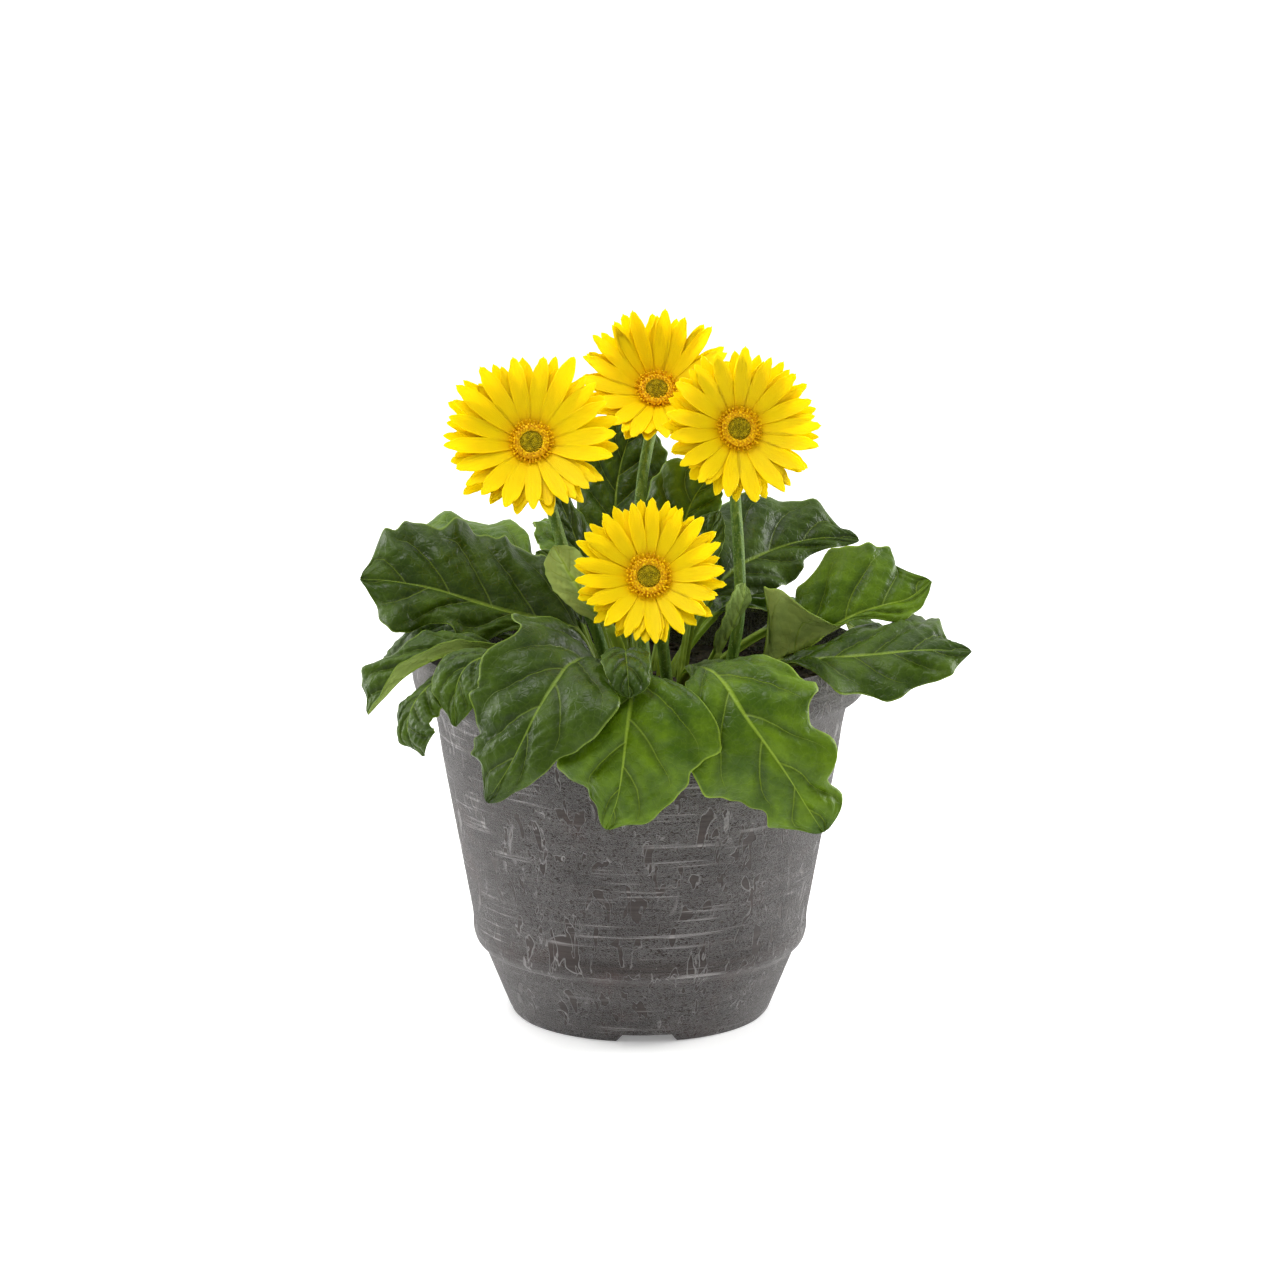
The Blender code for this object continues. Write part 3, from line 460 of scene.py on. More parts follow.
def half_section(width, lift, curl, t):
    """How far the points t of a half blade lie out and up, on an arc from the rib."""
    start = math.radians(lift)
    bend = math.radians(curl)
    if abs(bend) < 0.01:
        bend = 0.01
    out = (math.sin(start) - np.sin(start - bend * t)) / bend
    up = (np.cos(start - bend * t) - math.cos(start)) / bend
    return width * out, width * up, start - bend * t


def leaf_row(leaf, path, u, s):
    """The points of one row of a leaf's upper face, and how thick it is at each. The row
    lies at u along the rib, and s runs across it from the left margin to the right."""
    turn = math.radians(leaf["face"])
    left_hand = np.array([-math.sin(turn), math.cos(turn), 0.0])
    centre = path(u)
    ahead = path(min(u + 0.01, 1.0)) - path(max(u - 0.01, 0.0))
    ahead /= np.linalg.norm(ahead)
    side = left_hand - np.dot(left_hand, ahead) * ahead
    side /= np.linalg.norm(side)
    top = np.cross(ahead, side)
    f = (u - leaf["stalk"]) / (1.0 - leaf["stalk"])
    t = np.abs(s)
    round_stalk = STALK_THICK * np.sqrt(np.clip(1.0 - 0.96 * t ** 2, 0.0, 1.0))
    if f <= 0.0:
        rise = round_stalk * 0.5 - 1.1 * np.exp(-(s / 0.42) ** 2)
        points = centre + np.outer(s * STALK_HALF_WIDTH, side) + np.outer(rise, top)
        return points, round_stalk
    points = np.zeros((len(s), 3))
    thick = np.zeros(len(s))
    start = min(f / 0.06, 1.0)
    near_tip = max(0.0, (f - 1.0 + TIP_ROUNDING) / TIP_ROUNDING)
    for hand, way in (("left", 1.0), ("right", -1.0)):
        pick = s >= 0 if way > 0 else s < 0
        q = t[pick]
        width = float(curve_at(leaf[hand], f))
        sway = MARGIN_SWAY * math.sin(math.tau * MARGIN_SWAYS * f + 2.0 * way)
        width *= 1.0 + sway + MARGIN_NICK * math.sin(math.tau * MARGIN_NICKS * f)
        width = STALK_HALF_WIDTH + (width - STALK_HALF_WIDTH) * start
        width *= math.sqrt(max(0.0, 1.0 - near_tip ** 2)) * 0.96 + 0.04
        lift = float(curve_at(leaf["lift_" + hand], f)) * start
        curl = float(curve_at(leaf.get("curl_" + hand, (20, 20)), f)) * start
        out, up, angle = half_section(width, lift, curl, q)
        wave_turn = math.tau * leaf["waves"] * f + (1.6 if way > 0 else 0.0)
        small = min(1.0, width / SMALL_BLADE)
        ripple = leaf["wave"] * q * q * math.sin(wave_turn) * small
        ripple = ripple + 0.7 * q ** 3 * math.sin(2.7 * wave_turn + 1.0) * small
        phase = (f - VEIN_SLANT * q ** VEIN_CURVE) * VEINS + (0.5 if way > 0 else 0.0)
        quilted = QUILT * (0.5 - 0.5 * np.cos(math.tau * phase)) ** 0.55
        quilted = quilted * np.sin(math.pi * np.clip(q, 0.0, 1.0) ** 0.8) ** 0.8 * small * start
        blister = PUCKER * np.sin(math.tau * (8.0 * f + 1.5 * q))
        blister = blister * np.sin(math.tau * 2.6 * q + 5.0 * f)
        blister = blister * np.sin(math.pi * np.clip(q, 0.0, 1.0)) * small * start
        groove = -0.5 * np.exp(-(q * width / 1.6) ** 2) * start
        out_way = side * way
        face = np.outer(np.cos(angle), top) - np.outer(np.sin(angle), out_way)
        lifted = ripple + quilted + blister + groove + 0.5 * BLADE_THICK
        spots = centre + np.outer(out, out_way) + np.outer(up, top) + face * lifted[:, None]
        spots = spots + np.outer(SWEEP * width * q * (1.0 - near_tip), ahead)
        keel = KEEL_THICK * (1.0 - f) ** 0.8
        blade = BLADE_THICK + keel * np.exp(-(q * width / 2.0) ** 2)
        blend = min(f / 0.05, 1.0)
        points[pick] = spots + np.outer((1.0 - blend) * (round_stalk[pick] * 0.5), top)
        thick[pick] = blade * blend + round_stalk[pick] * (1.0 - blend)
    return points, thick


def grow_leaf(name, green, **leaf):
    """One leaf and its stalk, from a grid whose rows follow the rib."""
    path = even_path(leaf["rib"])
    stalk = leaf["stalk"]
    rows = 4 * leaf["rows"] + 12
    levels = [stalk * i / STALK_ROWS for i in range(STALK_ROWS)]
    levels += [stalk + (1.0 - stalk) * (1.0 - (1.0 - i / rows) ** 1.3) for i in range(rows + 1)]
    across = np.array([1.0 - 2.0 * i / LEAF_COLUMNS for i in range(LEAF_COLUMNS + 1)])
    across = np.sign(across) * np.abs(across) ** 1.25
    sheet = [leaf_row(leaf, path, u, across) for u in levels]
    bm = bmesh.new()
    bmesh.ops.create_grid(bm, x_segments=LEAF_COLUMNS, y_segments=len(levels) - 1, size=0.5)
    uv = bm.loops.layers.uv.new("blade")
    cells = {}
    for vert in bm.verts:
        column = round((vert.co.x + 0.5) * LEAF_COLUMNS)
        row = round((vert.co.y + 0.5) * (len(levels) - 1))
        cells[vert.index] = (row, column)
        vert.co = sheet[row][0][column]
    for face in bm.faces:
        for loop in face.loops:
            row, column = cells[loop.vert.index]
            loop[uv].uv = ((levels[row] - stalk) / (1.0 - stalk), across[column])
    leaf_object = placed(name + "_blade", bm, angle=180.0)
    for skin in green[1]:
        leaf_object.data.materials.append(skin)
    group = leaf_object.vertex_groups.new(name="thickness")
    for index, (row, column) in cells.items():
        group.add([index], float(sheet[row][1][column]) / STALK_THICK, "REPLACE")
    solid = leaf_object.modifiers.new("blade", "SOLIDIFY")
    solid.thickness = STALK_THICK * MM
    solid.offset = -1.0
    solid.vertex_group = "thickness"
    solid.material_offset = 1
    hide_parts(name)
    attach(leaf_object, "root")


grow_leaf(
    "leaf_left_broad", DARK, face=180, stalk=0.25, waves=4.0, wave=3.5, rows=15,
    rib=[(-24, -8, 200), (-36, -4, 229), (-55, -3, 236), (-75, -4, 241), (-97, -6, 248),
         (-120, -8, 256), (-143, -10, 261), (-164, -10, 263)],
    left=[6, 8, 10, 14, 32, 22, 23, 35, 30, 17, 8],
    right=[6, 44, 50, 50, 48, 55, 43, 47, 36, 33, 16], lift_left=(-45, -40, -40),
    lift_right=(50, 55, 50))
grow_leaf(
    "leaf_front_left", DARK, face=-123, stalk=0.22, waves=4.0, wave=3.5, rows=15,
    rib=[(-16, -40, 200), (-24, -66, 224), (-37, -108, 234), (-46, -135, 230), (-57, -149, 215),
         (-66, -156, 198), (-75, -157, 181), (-86, -150, 163)],
    left=[5, 9, 18, 25, 31, 45, 35, 25, 17, 11, 8],
    right=[5, 30, 46, 34, 45, 44, 41, 34, 27, 20, 10], lift_left=(10, 0, -15),
    lift_right=(50, 40, 15, 5, 0))
grow_leaf(
    "leaf_front_middle", BRIGHT, face=-100, stalk=0.28, waves=3.5, wave=3.0, rows=13,
    rib=[(2, -62, 200), (1, -85, 222), (-1, -116, 229), (-4, -137, 226), (-6, -150, 215),
         (-8, -156, 199), (-10, -158, 182), (-13, -156, 165), (-19, -150, 147)],
    left=[5, 8, 14, 38, 53, 50, 38, 36, 25, 18, 8], right=[5, 8, 14, 22, 28, 33, 39, 34, 21, 10, 8],
    lift_left=(5, 0, 0), lift_right=(5, 0, 0))
grow_leaf(
    "leaf_front_small", DARK, face=-90, stalk=0.45, waves=2.0, wave=1.5, rows=7,
    rib=[(-8, -66, 200), (-8, -84, 226), (-8, -104, 239), (-8, -126, 242), (-7, -144, 237),
         (-6, -155, 224)],
    left=[4, 9, 12, 13, 13, 12, 8], right=[4, 9, 13, 14, 13, 10, 7],
    lift_left=(20, 10, 0), lift_right=(15, 5, 0))
grow_leaf(
    "leaf_front_right", BRIGHT, face=-85, stalk=0.24, waves=4.0, wave=4.0, rows=15,
    rib=[(22, -44, 200), (28, -72, 222), (38, -110, 230), (47, -134, 227), (58, -148, 213),
         (70, -153, 197), (82, -152, 179), (93, -147, 160), (103, -141, 143)],
    left=[5, 16, 27, 38, 48, 38, 28, 33, 18, 23, 14],
    right=[5, 8, 12, 20, 31, 44, 40, 34, 22, 27, 16], lift_left=(30, 15, 5, 0),
    lift_right=(0, -5, -5))
grow_leaf(
    "leaf_right_broad", MID, face=-18, stalk=0.38, waves=4.0, wave=3.0, rows=13,
    rib=[(34, -30, 200), (56, -40, 214), (80, -54, 222), (108, -66, 227), (135, -74, 231),
         (162, -76, 234), (190, -73, 233)],
    left=[4, 20, 34, 44, 50, 54, 56, 50, 36, 18, 8],
    right=[4, 9, 20, 44, 30, 35, 27, 22, 21, 12, 6], lift_left=(22, 22, 15),
    lift_right=(5, 6, -18, -35, -30, -30), curl_right=(20, 30, 30, 20))
grow_leaf(
    "leaf_right_cupped", BRIGHT, face=8, stalk=0.3, waves=3.0, wave=2.5, rows=13,
    rib=[(38, -14, 200), (60, -23, 213), (78, -30, 217), (94, -33, 226), (108, -34, 236),
         (125, -34, 246), (142, -30, 251), (157, -24, 254), (170, -16, 263)],
    left=[8, 16, 24, 30, 36, 45, 41, 39, 36, 28, 12], right=[8, 44, 46, 32, 12, 4, 7, 15, 12, 8, 6],
    lift_left=(60, 60, 60, 55, 50), lift_right=(80, 80, 78, 70, 30, -10, -30, -35, -30, -25, -20),
    curl_left=(15, 15), curl_right=(10, 10))
grow_leaf(
    "leaf_back_right_dark", DARK, face=40, stalk=0.35, waves=4.0, wave=3.5, rows=12,
    rib=[(20, 14, 200), (38, 38, 236), (55, 56, 254), (74, 76, 261), (94, 88, 266),
         (114, 95, 268), (134, 99, 266)],
    left=[6, 26, 38, 44, 44, 40, 37, 30, 26, 14, 8], right=[5, 17, 24, 25, 24, 23, 15, 10, 9, 7, 6],
    lift_left=(50, 50, 40), lift_right=(-30, -35, -30))
grow_leaf(
    "leaf_back_tall", DARK, face=90, stalk=0.42, waves=3.0, wave=2.5, rows=10,
    rib=[(-8, 28, 200), (-13, 46, 252), (-15, 66, 281), (-14, 80, 303),
         (-9, 88, 324), (0, 90, 346)],
    left=[5, 14, 20, 24, 26, 24, 20, 14, 7], right=[5, 16, 24, 30, 30, 28, 24, 16, 8],
    lift_left=(15, 10, 5), lift_right=(15, 10, 5))
grow_leaf(
    "leaf_back_bright", BRIGHT, face=70, stalk=0.45, waves=2.5, wave=2.0, rows=8,
    rib=[(12, 14, 200), (17, 24, 250), (24, 32, 280), (32, 38, 302), (44, 42, 318)],
    left=[4, 12, 20, 28, 30, 24, 10], right=[4, 12, 18, 20, 18, 14, 7], lift_left=(20, 10, 0),
    lift_right=(20, 10, 0))
grow_leaf(
    "leaf_back_curled", MID, face=50, stalk=0.5, waves=2.5, wave=2.0, rows=7,
    rib=[(24, 2, 200), (31, 6, 246), (37, 9, 272), (42, 11, 288), (47, 12, 299)],
    left=[4, 9, 13, 13, 11, 6], right=[4, 9, 12, 12, 9, 5], lift_left=(20, 10, 0),
    lift_right=(20, 10, 0))
grow_leaf(
    "leaf_left_tall", MID, face=150, stalk=0.45, waves=2.5, wave=2.0, rows=8,
    rib=[(-14, 6, 200), (-28, 17, 250), (-38, 23, 280), (-46, 25, 300),
         (-52, 23, 316)],
    left=[4, 10, 15, 17, 16, 12, 6], right=[4, 10, 14, 16, 15, 12, 6],
    lift_left=(15, 10, 0), lift_right=(15, 10, 0))
grow_leaf(
    "leaf_left_inner", DARK, face=150, stalk=0.45, waves=2.5, wave=2.0, rows=8,
    rib=[(-24, 6, 200), (-38, 30, 236), (-48, 42, 252), (-56, 48, 262), (-62, 50, 268)],
    left=[4, 9, 12, 14, 12, 10, 6], right=[4, 10, 14, 16, 14, 10, 6], lift_left=(15, 10, 0),
    lift_right=(20, 20, 20))
grow_leaf(
    "leaf_left_curled", BRIGHT, face=-90, stalk=0.5, waves=2.0, wave=1.5, rows=7,
    rib=[(-6, -30, 200), (-14, -42, 235), (-30, -48, 258), (-40, -47, 272), (-50, -42, 288)],
    left=[3, 9, 12, 13, 11, 6], right=[3, 9, 12, 13, 11, 6], lift_left=(10, 10),
    lift_right=(15, 15))
grow_leaf(
    "leaf_left_back", BRIGHT, face=155, stalk=0.3, waves=4.0, wave=3.5, rows=11,
    rib=[(-30, 16, 200), (-52, 36, 238), (-74, 48, 256), (-98, 57, 263), (-128, 60, 262),
         (-164, 54, 250)],
    left=[5, 20, 30, 30, 30, 26, 28, 22, 12], right=[5, 12, 22, 42, 40, 48, 32, 22, 12],
    lift_left=(-5, -10, -15), lift_right=(30, 30, 20))
grow_leaf(
    "leaf_left_rolled", MID, face=210, stalk=0.42, waves=3.0, wave=2.0, rows=10,
    rib=[(-34, -26, 200), (-60, -42, 223), (-88, -57, 229), (-114, -69, 230), (-134, -78, 221),
         (-148, -82, 207), (-156, -83, 198)],
    left=[4, 7, 8, 8, 8, 9, 9, 7, 5], right=[4, 16, 22, 20, 19, 20, 24, 18, 8],
    lift_left=(70, 75, 70, 40), lift_right=(35, 35, 20))
grow_leaf(
    "leaf_left_fold", MID, face=224, stalk=0.4, waves=3.0, wave=2.5, rows=10,
    rib=[(-26, -50, 200), (-52, -74, 226), (-76, -92, 235), (-96, -107, 233), (-104, -119, 220),
         (-104, -127, 201)],
    left=[4, 14, 20, 23, 18, 15, 15, 12, 6], right=[4, 10, 12, 16, 23, 21, 14, 8, 5],
    lift_left=(0, -5, -5), lift_right=(5, 8, 15))
grow_leaf(
    "leaf_left_low", MID, face=216, stalk=0.6, waves=3.0, wave=2.0, rows=10,
    rib=[(-42, -36, 200), (-52, -42, 213), (-76, -57, 222), (-104, -78, 226), (-122, -97, 216),
         (-130, -110, 206), (-131, -119, 195), (-122, -124, 183)],
    left=[4, 12, 20, 20, 18, 16, 19, 18, 8], right=[4, 7, 10, 13, 13, 12, 10, 8, 5],
    lift_left=(-5, -5, -5), lift_right=(-5, -5, 0))
grow_leaf(
    "leaf_right_inner", DARK, face=-40, stalk=0.5, waves=2.0, wave=1.5, rows=7,
    rib=[(32, -44, 200), (44, -52, 228), (52, -55, 244), (58, -54, 258),
         (60, -50, 268)],
    left=[3, 8, 11, 11, 9, 5], right=[3, 8, 11, 11, 9, 5],
    lift_left=(30, 20, 10), lift_right=(20, 10, 10))
grow_leaf(
    "leaf_back_left_low", MID, face=130, stalk=0.35, waves=4.0, wave=3.0, rows=10,
    rib=[(-20, 36, 200), (-48, 66, 224), (-76, 94, 234), (-96, 116, 228),
         (-108, 130, 211), (-112, 136, 190)],
    left=[5, 22, 32, 34, 30, 32, 26, 18, 10], right=[5, 22, 34, 32, 34, 30, 24, 18, 10],
    lift_left=(10, 5, 0), lift_right=(10, 5, 0))
grow_leaf(
    "leaf_back_low", DARK, face=93, stalk=0.35, waves=4.0, wave=3.0, rows=10,
    rib=[(-2, 44, 200), (-4, 78, 228), (-6, 112, 240), (-8, 140, 232),
         (-9, 156, 211), (-9, 160, 187)],
    left=[5, 22, 32, 34, 30, 32, 26, 18, 10], right=[5, 22, 34, 32, 34, 30, 24, 18, 10],
    lift_left=(10, 5, 0), lift_right=(10, 5, 0))
grow_leaf(
    "leaf_back_right_low", BRIGHT, face=55, stalk=0.35, waves=4.0, wave=3.0, rows=10,
    rib=[(20, 34, 200), (42, 64, 224), (64, 94, 232), (82, 116, 227),
         (94, 132, 210), (98, 138, 189)],
    left=[5, 22, 30, 30, 28, 30, 24, 16, 10], right=[5, 22, 32, 32, 34, 30, 24, 16, 10],
    lift_left=(10, 5, 0), lift_right=(5, 0, 0))
grow_leaf(
    "leaf_right_back_low", MID, face=18, stalk=0.35, waves=4.0, wave=3.0, rows=10,
    rib=[(38, 8, 200), (68, 20, 222), (100, 34, 232), (128, 45, 230),
         (146, 52, 214), (153, 55, 194)],
    left=[5, 20, 30, 32, 28, 30, 24, 16, 10], right=[5, 18, 26, 26, 28, 26, 22, 16, 10],
    lift_left=(5, 0, 0), lift_right=(5, 0, 0))
grow_leaf(
    "leaf_left_back_low", DARK, face=168, stalk=0.35, waves=4.0, wave=2.5, rows=10,
    rib=[(-42, 4, 200), (-72, 12, 221), (-104, 20, 230), (-130, 24, 228),
         (-148, 26, 212), (-155, 26, 192)],
    left=[5, 16, 22, 24, 26, 26, 22, 16, 10], right=[5, 18, 26, 28, 28, 28, 22, 16, 10],
    lift_left=(0, -5, -5), lift_right=(5, 0, 0))
grow_leaf(
    "leaf_back_left_high", BRIGHT, face=117, stalk=0.4, waves=3.5, wave=2.5, rows=9,
    rib=[(-14, 20, 200), (-28, 52, 244), (-38, 80, 268), (-44, 104, 276),
         (-48, 124, 268)],
    left=[4, 18, 26, 26, 24, 22, 16, 8], right=[4, 16, 22, 24, 24, 20, 14, 8],
    lift_left=(15, 10, 5), lift_right=(15, 10, 5))
grow_leaf(
    "leaf_back_right_high", MID, face=80, stalk=0.4, waves=3.5, wave=2.5, rows=9,
    rib=[(8, 28, 200), (18, 56, 240), (23, 86, 260), (27, 114, 264),
         (30, 138, 252)],
    left=[4, 18, 24, 26, 24, 22, 16, 8], right=[4, 16, 22, 22, 22, 20, 14, 8],
    lift_left=(15, 10, 5), lift_right=(10, 10, 5))

# The blooms: yellow ray florets in three close layers round a collar of short orange
# florets and a green button of closed buds, on a leafless, faintly furred stem that
# swells into a cup of narrow green bracts.
RAYS_IN_LAYER = 17
RAY_ROOT = 8.5
RAY_THICK = 0.6
RAY_COLUMNS = 8
RAY_ROWS = 11
BRACT_THICK = 0.35
CORE_BACK = -6.0
CORE_FRONT = -2.6
COLLAR_INNER = 6.6
STEM_RADIUS = 3.5
STEM_SIDES = 20
STEM_ROWS = 48
FRONT_LAYERS = ((3.0, -4.2), (-5.0, -5.1))
FILLER_LAYER = (-1.0, -4.7)
BUDS = 120
BUTTON_RADIUS = 6.5
GOLDEN_TURN = 2.39996
FLORET_ROWS = ((7.4, 24, 12, 0.8), (8.8, 30, 28, 0.95), (10.2, 34, 50, 1.0))
CUP = ((-8.4, 3.6), (-7.0, 4.4), (-5.8, 5.9), (-4.6, 7.3), (-2.8, 8.7), (-0.2, 9.3))
BRACT_ROWS = ((-7.6, 4.3, 8.5, 14, 34), (-6.0, 5.6, 9.0, 17, 36), (-4.0, 7.5, 8.0, 20, 30))
PETAL_OUTER = (0.88, 0.560, 0.0)
PETAL_ROOT = (0.84, 0.43, 0.0)
PETAL_LINE = (0.68, 0.42, 0.0)
PETAL_PALE = (0.90, 0.61, 0.0)
STEM_DARK = (0.050, 0.105, 0.010)
STEM_LIGHT = (0.115, 0.190, 0.025)
STEM_FUR = (0.34, 0.42, 0.18)

petal = Surface("ray_petal", 0.46)
outward, sideways = petal.parts(petal.add("UVMap", settings={"uv_map": "blade"}))[:2]
petal_lines = petal.add("CombineXYZ", X=petal.times(outward, 1.5), Y=petal.times(sideways, 9.0))
fine_lines = petal.noise(petal_lines, scale=1.0, detail=3.0, rough=0.6)
petal_patch = petal.noise(petal.place(), scale=90.0, detail=2.0)
petal_colour = petal.mix(petal.ramp(outward, 0.36, 0.06), PETAL_OUTER, PETAL_ROOT)
petal_colour = petal.mix(petal.ramp(fine_lines, 0.35, 0.62, 0.14, 0.0), petal_colour, PETAL_LINE)
petal_colour = petal.mix(petal.ramp(petal_patch, 0.45, 0.75, 0.0, 0.30), petal_colour, PETAL_PALE)
petal.tune(Specular_IOR_Level=0.06, Subsurface_Weight=0.55, Subsurface_Radius=(1.0, 0.9, 0.1),
           Subsurface_Scale=0.004)
ray_petal = petal.finish(petal_colour, None, fine_lines, 0.0005, 0.6)


def speckled(name, roughness, scale, low, high, dark, light, depth):
    """A soft surface whose colour and relief both follow one fine noise pattern."""
    surface = Surface(name, roughness)
    specks = surface.noise(surface.place(), scale=scale, detail=2.0)
    colour = surface.mix(surface.ramp(specks, low, high), dark, light)
    surface.tune(Specular_IOR_Level=0.1)
    return surface.finish(colour, None, specks, depth, 0.6)


floret_amber = speckled("floret_amber", 0.55, scale=650.0, low=0.40, high=0.62,
                        dark=(0.58, 0.29, 0.002), light=(0.86, 0.57, 0.002), depth=0.0006)
centre_green = speckled("centre_green", 0.5, scale=520.0, low=0.38, high=0.66,
                        dark=(0.24, 0.185, 0.002), light=(0.50, 0.38, 0.005), depth=0.0005)

fur = Surface("stem_skin", 0.5)
fur_long = fur.noise(fur.place((300, 300, 40)), detail=3.0)
fur_fine = fur.noise(fur.place(), scale=900.0, detail=2.0)
fur_colour = fur.mix(fur.ramp(fur_long, 0.36, 0.64), STEM_DARK, STEM_LIGHT)
fur_colour = fur.mix(fur.ramp(fur_fine, 0.55, 0.72, 0.0, 0.35), fur_colour, STEM_FUR)
fur.tune(Specular_IOR_Level=0.12)
stem_skin = fur.finish(fur_colour, None, fur_fine, 0.0006, 0.8)


def bloom_frame(centre, elevation, turn):
    """The matrix that carries the bloom's own frame to its place, in millimetres."""
    tip = math.radians(elevation)
    heading = math.radians(turn)
    look = Vector((math.sin(heading) * math.cos(tip), -math.cos(heading) * math.cos(tip),
                   math.sin(tip)))
    across = Vector((0, 0, 1)).cross(look).normalized()
    upward = look.cross(across)
    rotation = Matrix((across, upward, look)).transposed().to_4x4()
    return Matrix.Translation(centre) @ rotation


def thicken(bm, faces, depth):
    """Gives thin petals or bracts their thickness, to the back of their faces."""
    bm.normal_update()
    grown = bmesh.ops.extrude_face_region(bm, geom=faces, use_keep_orig=True)["geom"]
    fresh = [item for item in grown if isinstance(item, bmesh.types.BMVert)]
    for vert in fresh:
        vert.co -= depth * vert.normal


def add_ray(bm, uv, angle, reach, width, tilt, back, twist, draw):
    """One ray floret: a tongue, narrow at its root, with a shallowly toothed tip. Here f
    runs from root to tip and x from margin to margin."""
    grid = bmesh.ops.create_grid(bm, x_segments=RAY_COLUMNS, y_segments=RAY_ROWS, size=0.5)
    bend = draw.uniform(-2.0, 2.0)
    cup = draw.uniform(-0.7, 1.5)
    sway = draw.uniform(-2.2, 2.2)
    tooth = draw.uniform(0.2, 1.1)
    point = draw.uniform(0.09, 0.17)
    width = width * 1.06
    for vert in grid["verts"]:
        x = vert.co.x * 2.0
        f = vert.co.y + 0.5
        widen = min(f / 0.5, 1.0)
        half = width * (0.24 + 0.27 * widen * widen * (3.0 - 2.0 * widen))
        taper = max(0.0, (f - 0.66) / 0.34)
        half *= 1.0 - 0.42 * taper ** 2.4
        radius = RAY_ROOT + (reach - RAY_ROOT) * f * (1.0 - point * abs(x) ** 2.2 * f ** 3)
        radius -= tooth * f ** 6 * (0.5 - 0.5 * math.cos(math.tau * 1.5 * x))
        side = half * x
        rise = math.sin(math.radians(tilt)) * (radius - RAY_ROOT) - bend * f ** 3
        rise += side * math.sin(math.radians(twist)) + cup * (x * x - 0.35) * f
        rise += 0.16 * math.cos(math.tau * 2.0 * x) * min(1.0, 2.0 * f)
        flat = math.cos(math.radians(tilt * 0.5))
        spot = Vector((radius * flat, side + sway * f * f, back + rise))
        vert.co = Matrix.Rotation(angle, 3, "Z") @ spot
        for loop in vert.link_loops:
            loop[uv].uv = (f, x)


def bloom_rays(name, frame, reach, tilt, width, draw):
    """Three close layers of ray florets, on the flat receptacle that they grow from."""
    bm = bmesh.new()
    uv = bm.loops.layers.uv.new("blade")
    looks = random.Random(name)
    for layer, (steeper, back) in enumerate(FRONT_LAYERS):
        for number in range(RAYS_IN_LAYER):
            share = (number + 0.5 * layer + draw.uniform(-0.1, 0.1)) / RAYS_IN_LAYER
            length = reach * draw.uniform(0.93, 1.02)
            broad = width * draw.uniform(0.9, 1.05)
            lean = tilt + steeper + draw.uniform(-2, 2)
            add_ray(bm, uv, math.tau * share, length, broad, lean, back, draw.uniform(-6, 6), looks)
    for number in range(RAYS_IN_LAYER):
        share = (number + 0.25 + looks.uniform(-0.15, 0.15)) / RAYS_IN_LAYER
        length = reach * looks.uniform(0.86, 0.97)
        lean = tilt + FILLER_LAYER[0] + looks.uniform(-2, 2)
        add_ray(bm, uv, math.tau * share, length, width * 0.9, lean, FILLER_LAYER[1],
                looks.uniform(-5, 5), looks)
    thicken(bm, list(bm.faces), RAY_THICK)
    bmesh.ops.recalc_face_normals(bm, faces=bm.faces)
    core = turned([(0.0, CORE_BACK), (10.0, CORE_BACK), (11.0, CORE_BACK + 1.0),
                   (11.0, CORE_FRONT - 0.6), (10.0, CORE_FRONT), (0.0, CORE_FRONT)], 34)
    core_mesh = bpy.data.meshes.new(name + "_core")
    core.to_mesh(core_mesh)
    core.free()
    bm.from_mesh(core_mesh)
    bpy.data.meshes.remove(core_mesh)
    bm.transform(frame)
    rays = placed(name + "_petals", bm, angle=60.0)
    rays.data.materials.append(ray_petal)
    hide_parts(name + "_rays")
    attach(rays, "root")


def bloom_collar(name, frame):
    """The collar of short inner florets, each a small curled tongue leaning outward."""
    base = CORE_FRONT + 0.2
    bm = turned([(COLLAR_INNER, base), (9.4, base), (10.6, -0.8), (9.6, 0.2), (8.2, 0.6),
                 (COLLAR_INNER, -0.4), (COLLAR_INNER, base)], 40)
    looks = random.Random(name + "collar")
    for row, (radius, count, lean, size) in enumerate(FLORET_ROWS):
        for number in range(count):
            turn = math.tau * (number + looks.uniform(-0.25, 0.25) + 0.5 * row) / count
            tilt = math.radians(lean + looks.uniform(-12, 12))
            height = looks.uniform(2.8, 4.0)
            stand = Matrix.Translation((radius, 0, -0.9)) @ Matrix.Rotation(tilt, 4, "Y")
            stand = Matrix.Rotation(turn, 4, "Z") @ stand @ Matrix.Translation((0, 0, height * 0.5))
            bmesh.ops.create_cone(bm, cap_ends=True, segments=5, radius1=0.32, radius2=size * 0.62,
                                  depth=height, matrix=stand)
    bm.transform(frame)
    collar = placed(name + "_collar", bm, angle=50.0)
    collar.data.materials.append(floret_amber)
    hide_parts(name + "_inner_florets")
    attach(collar, "root")


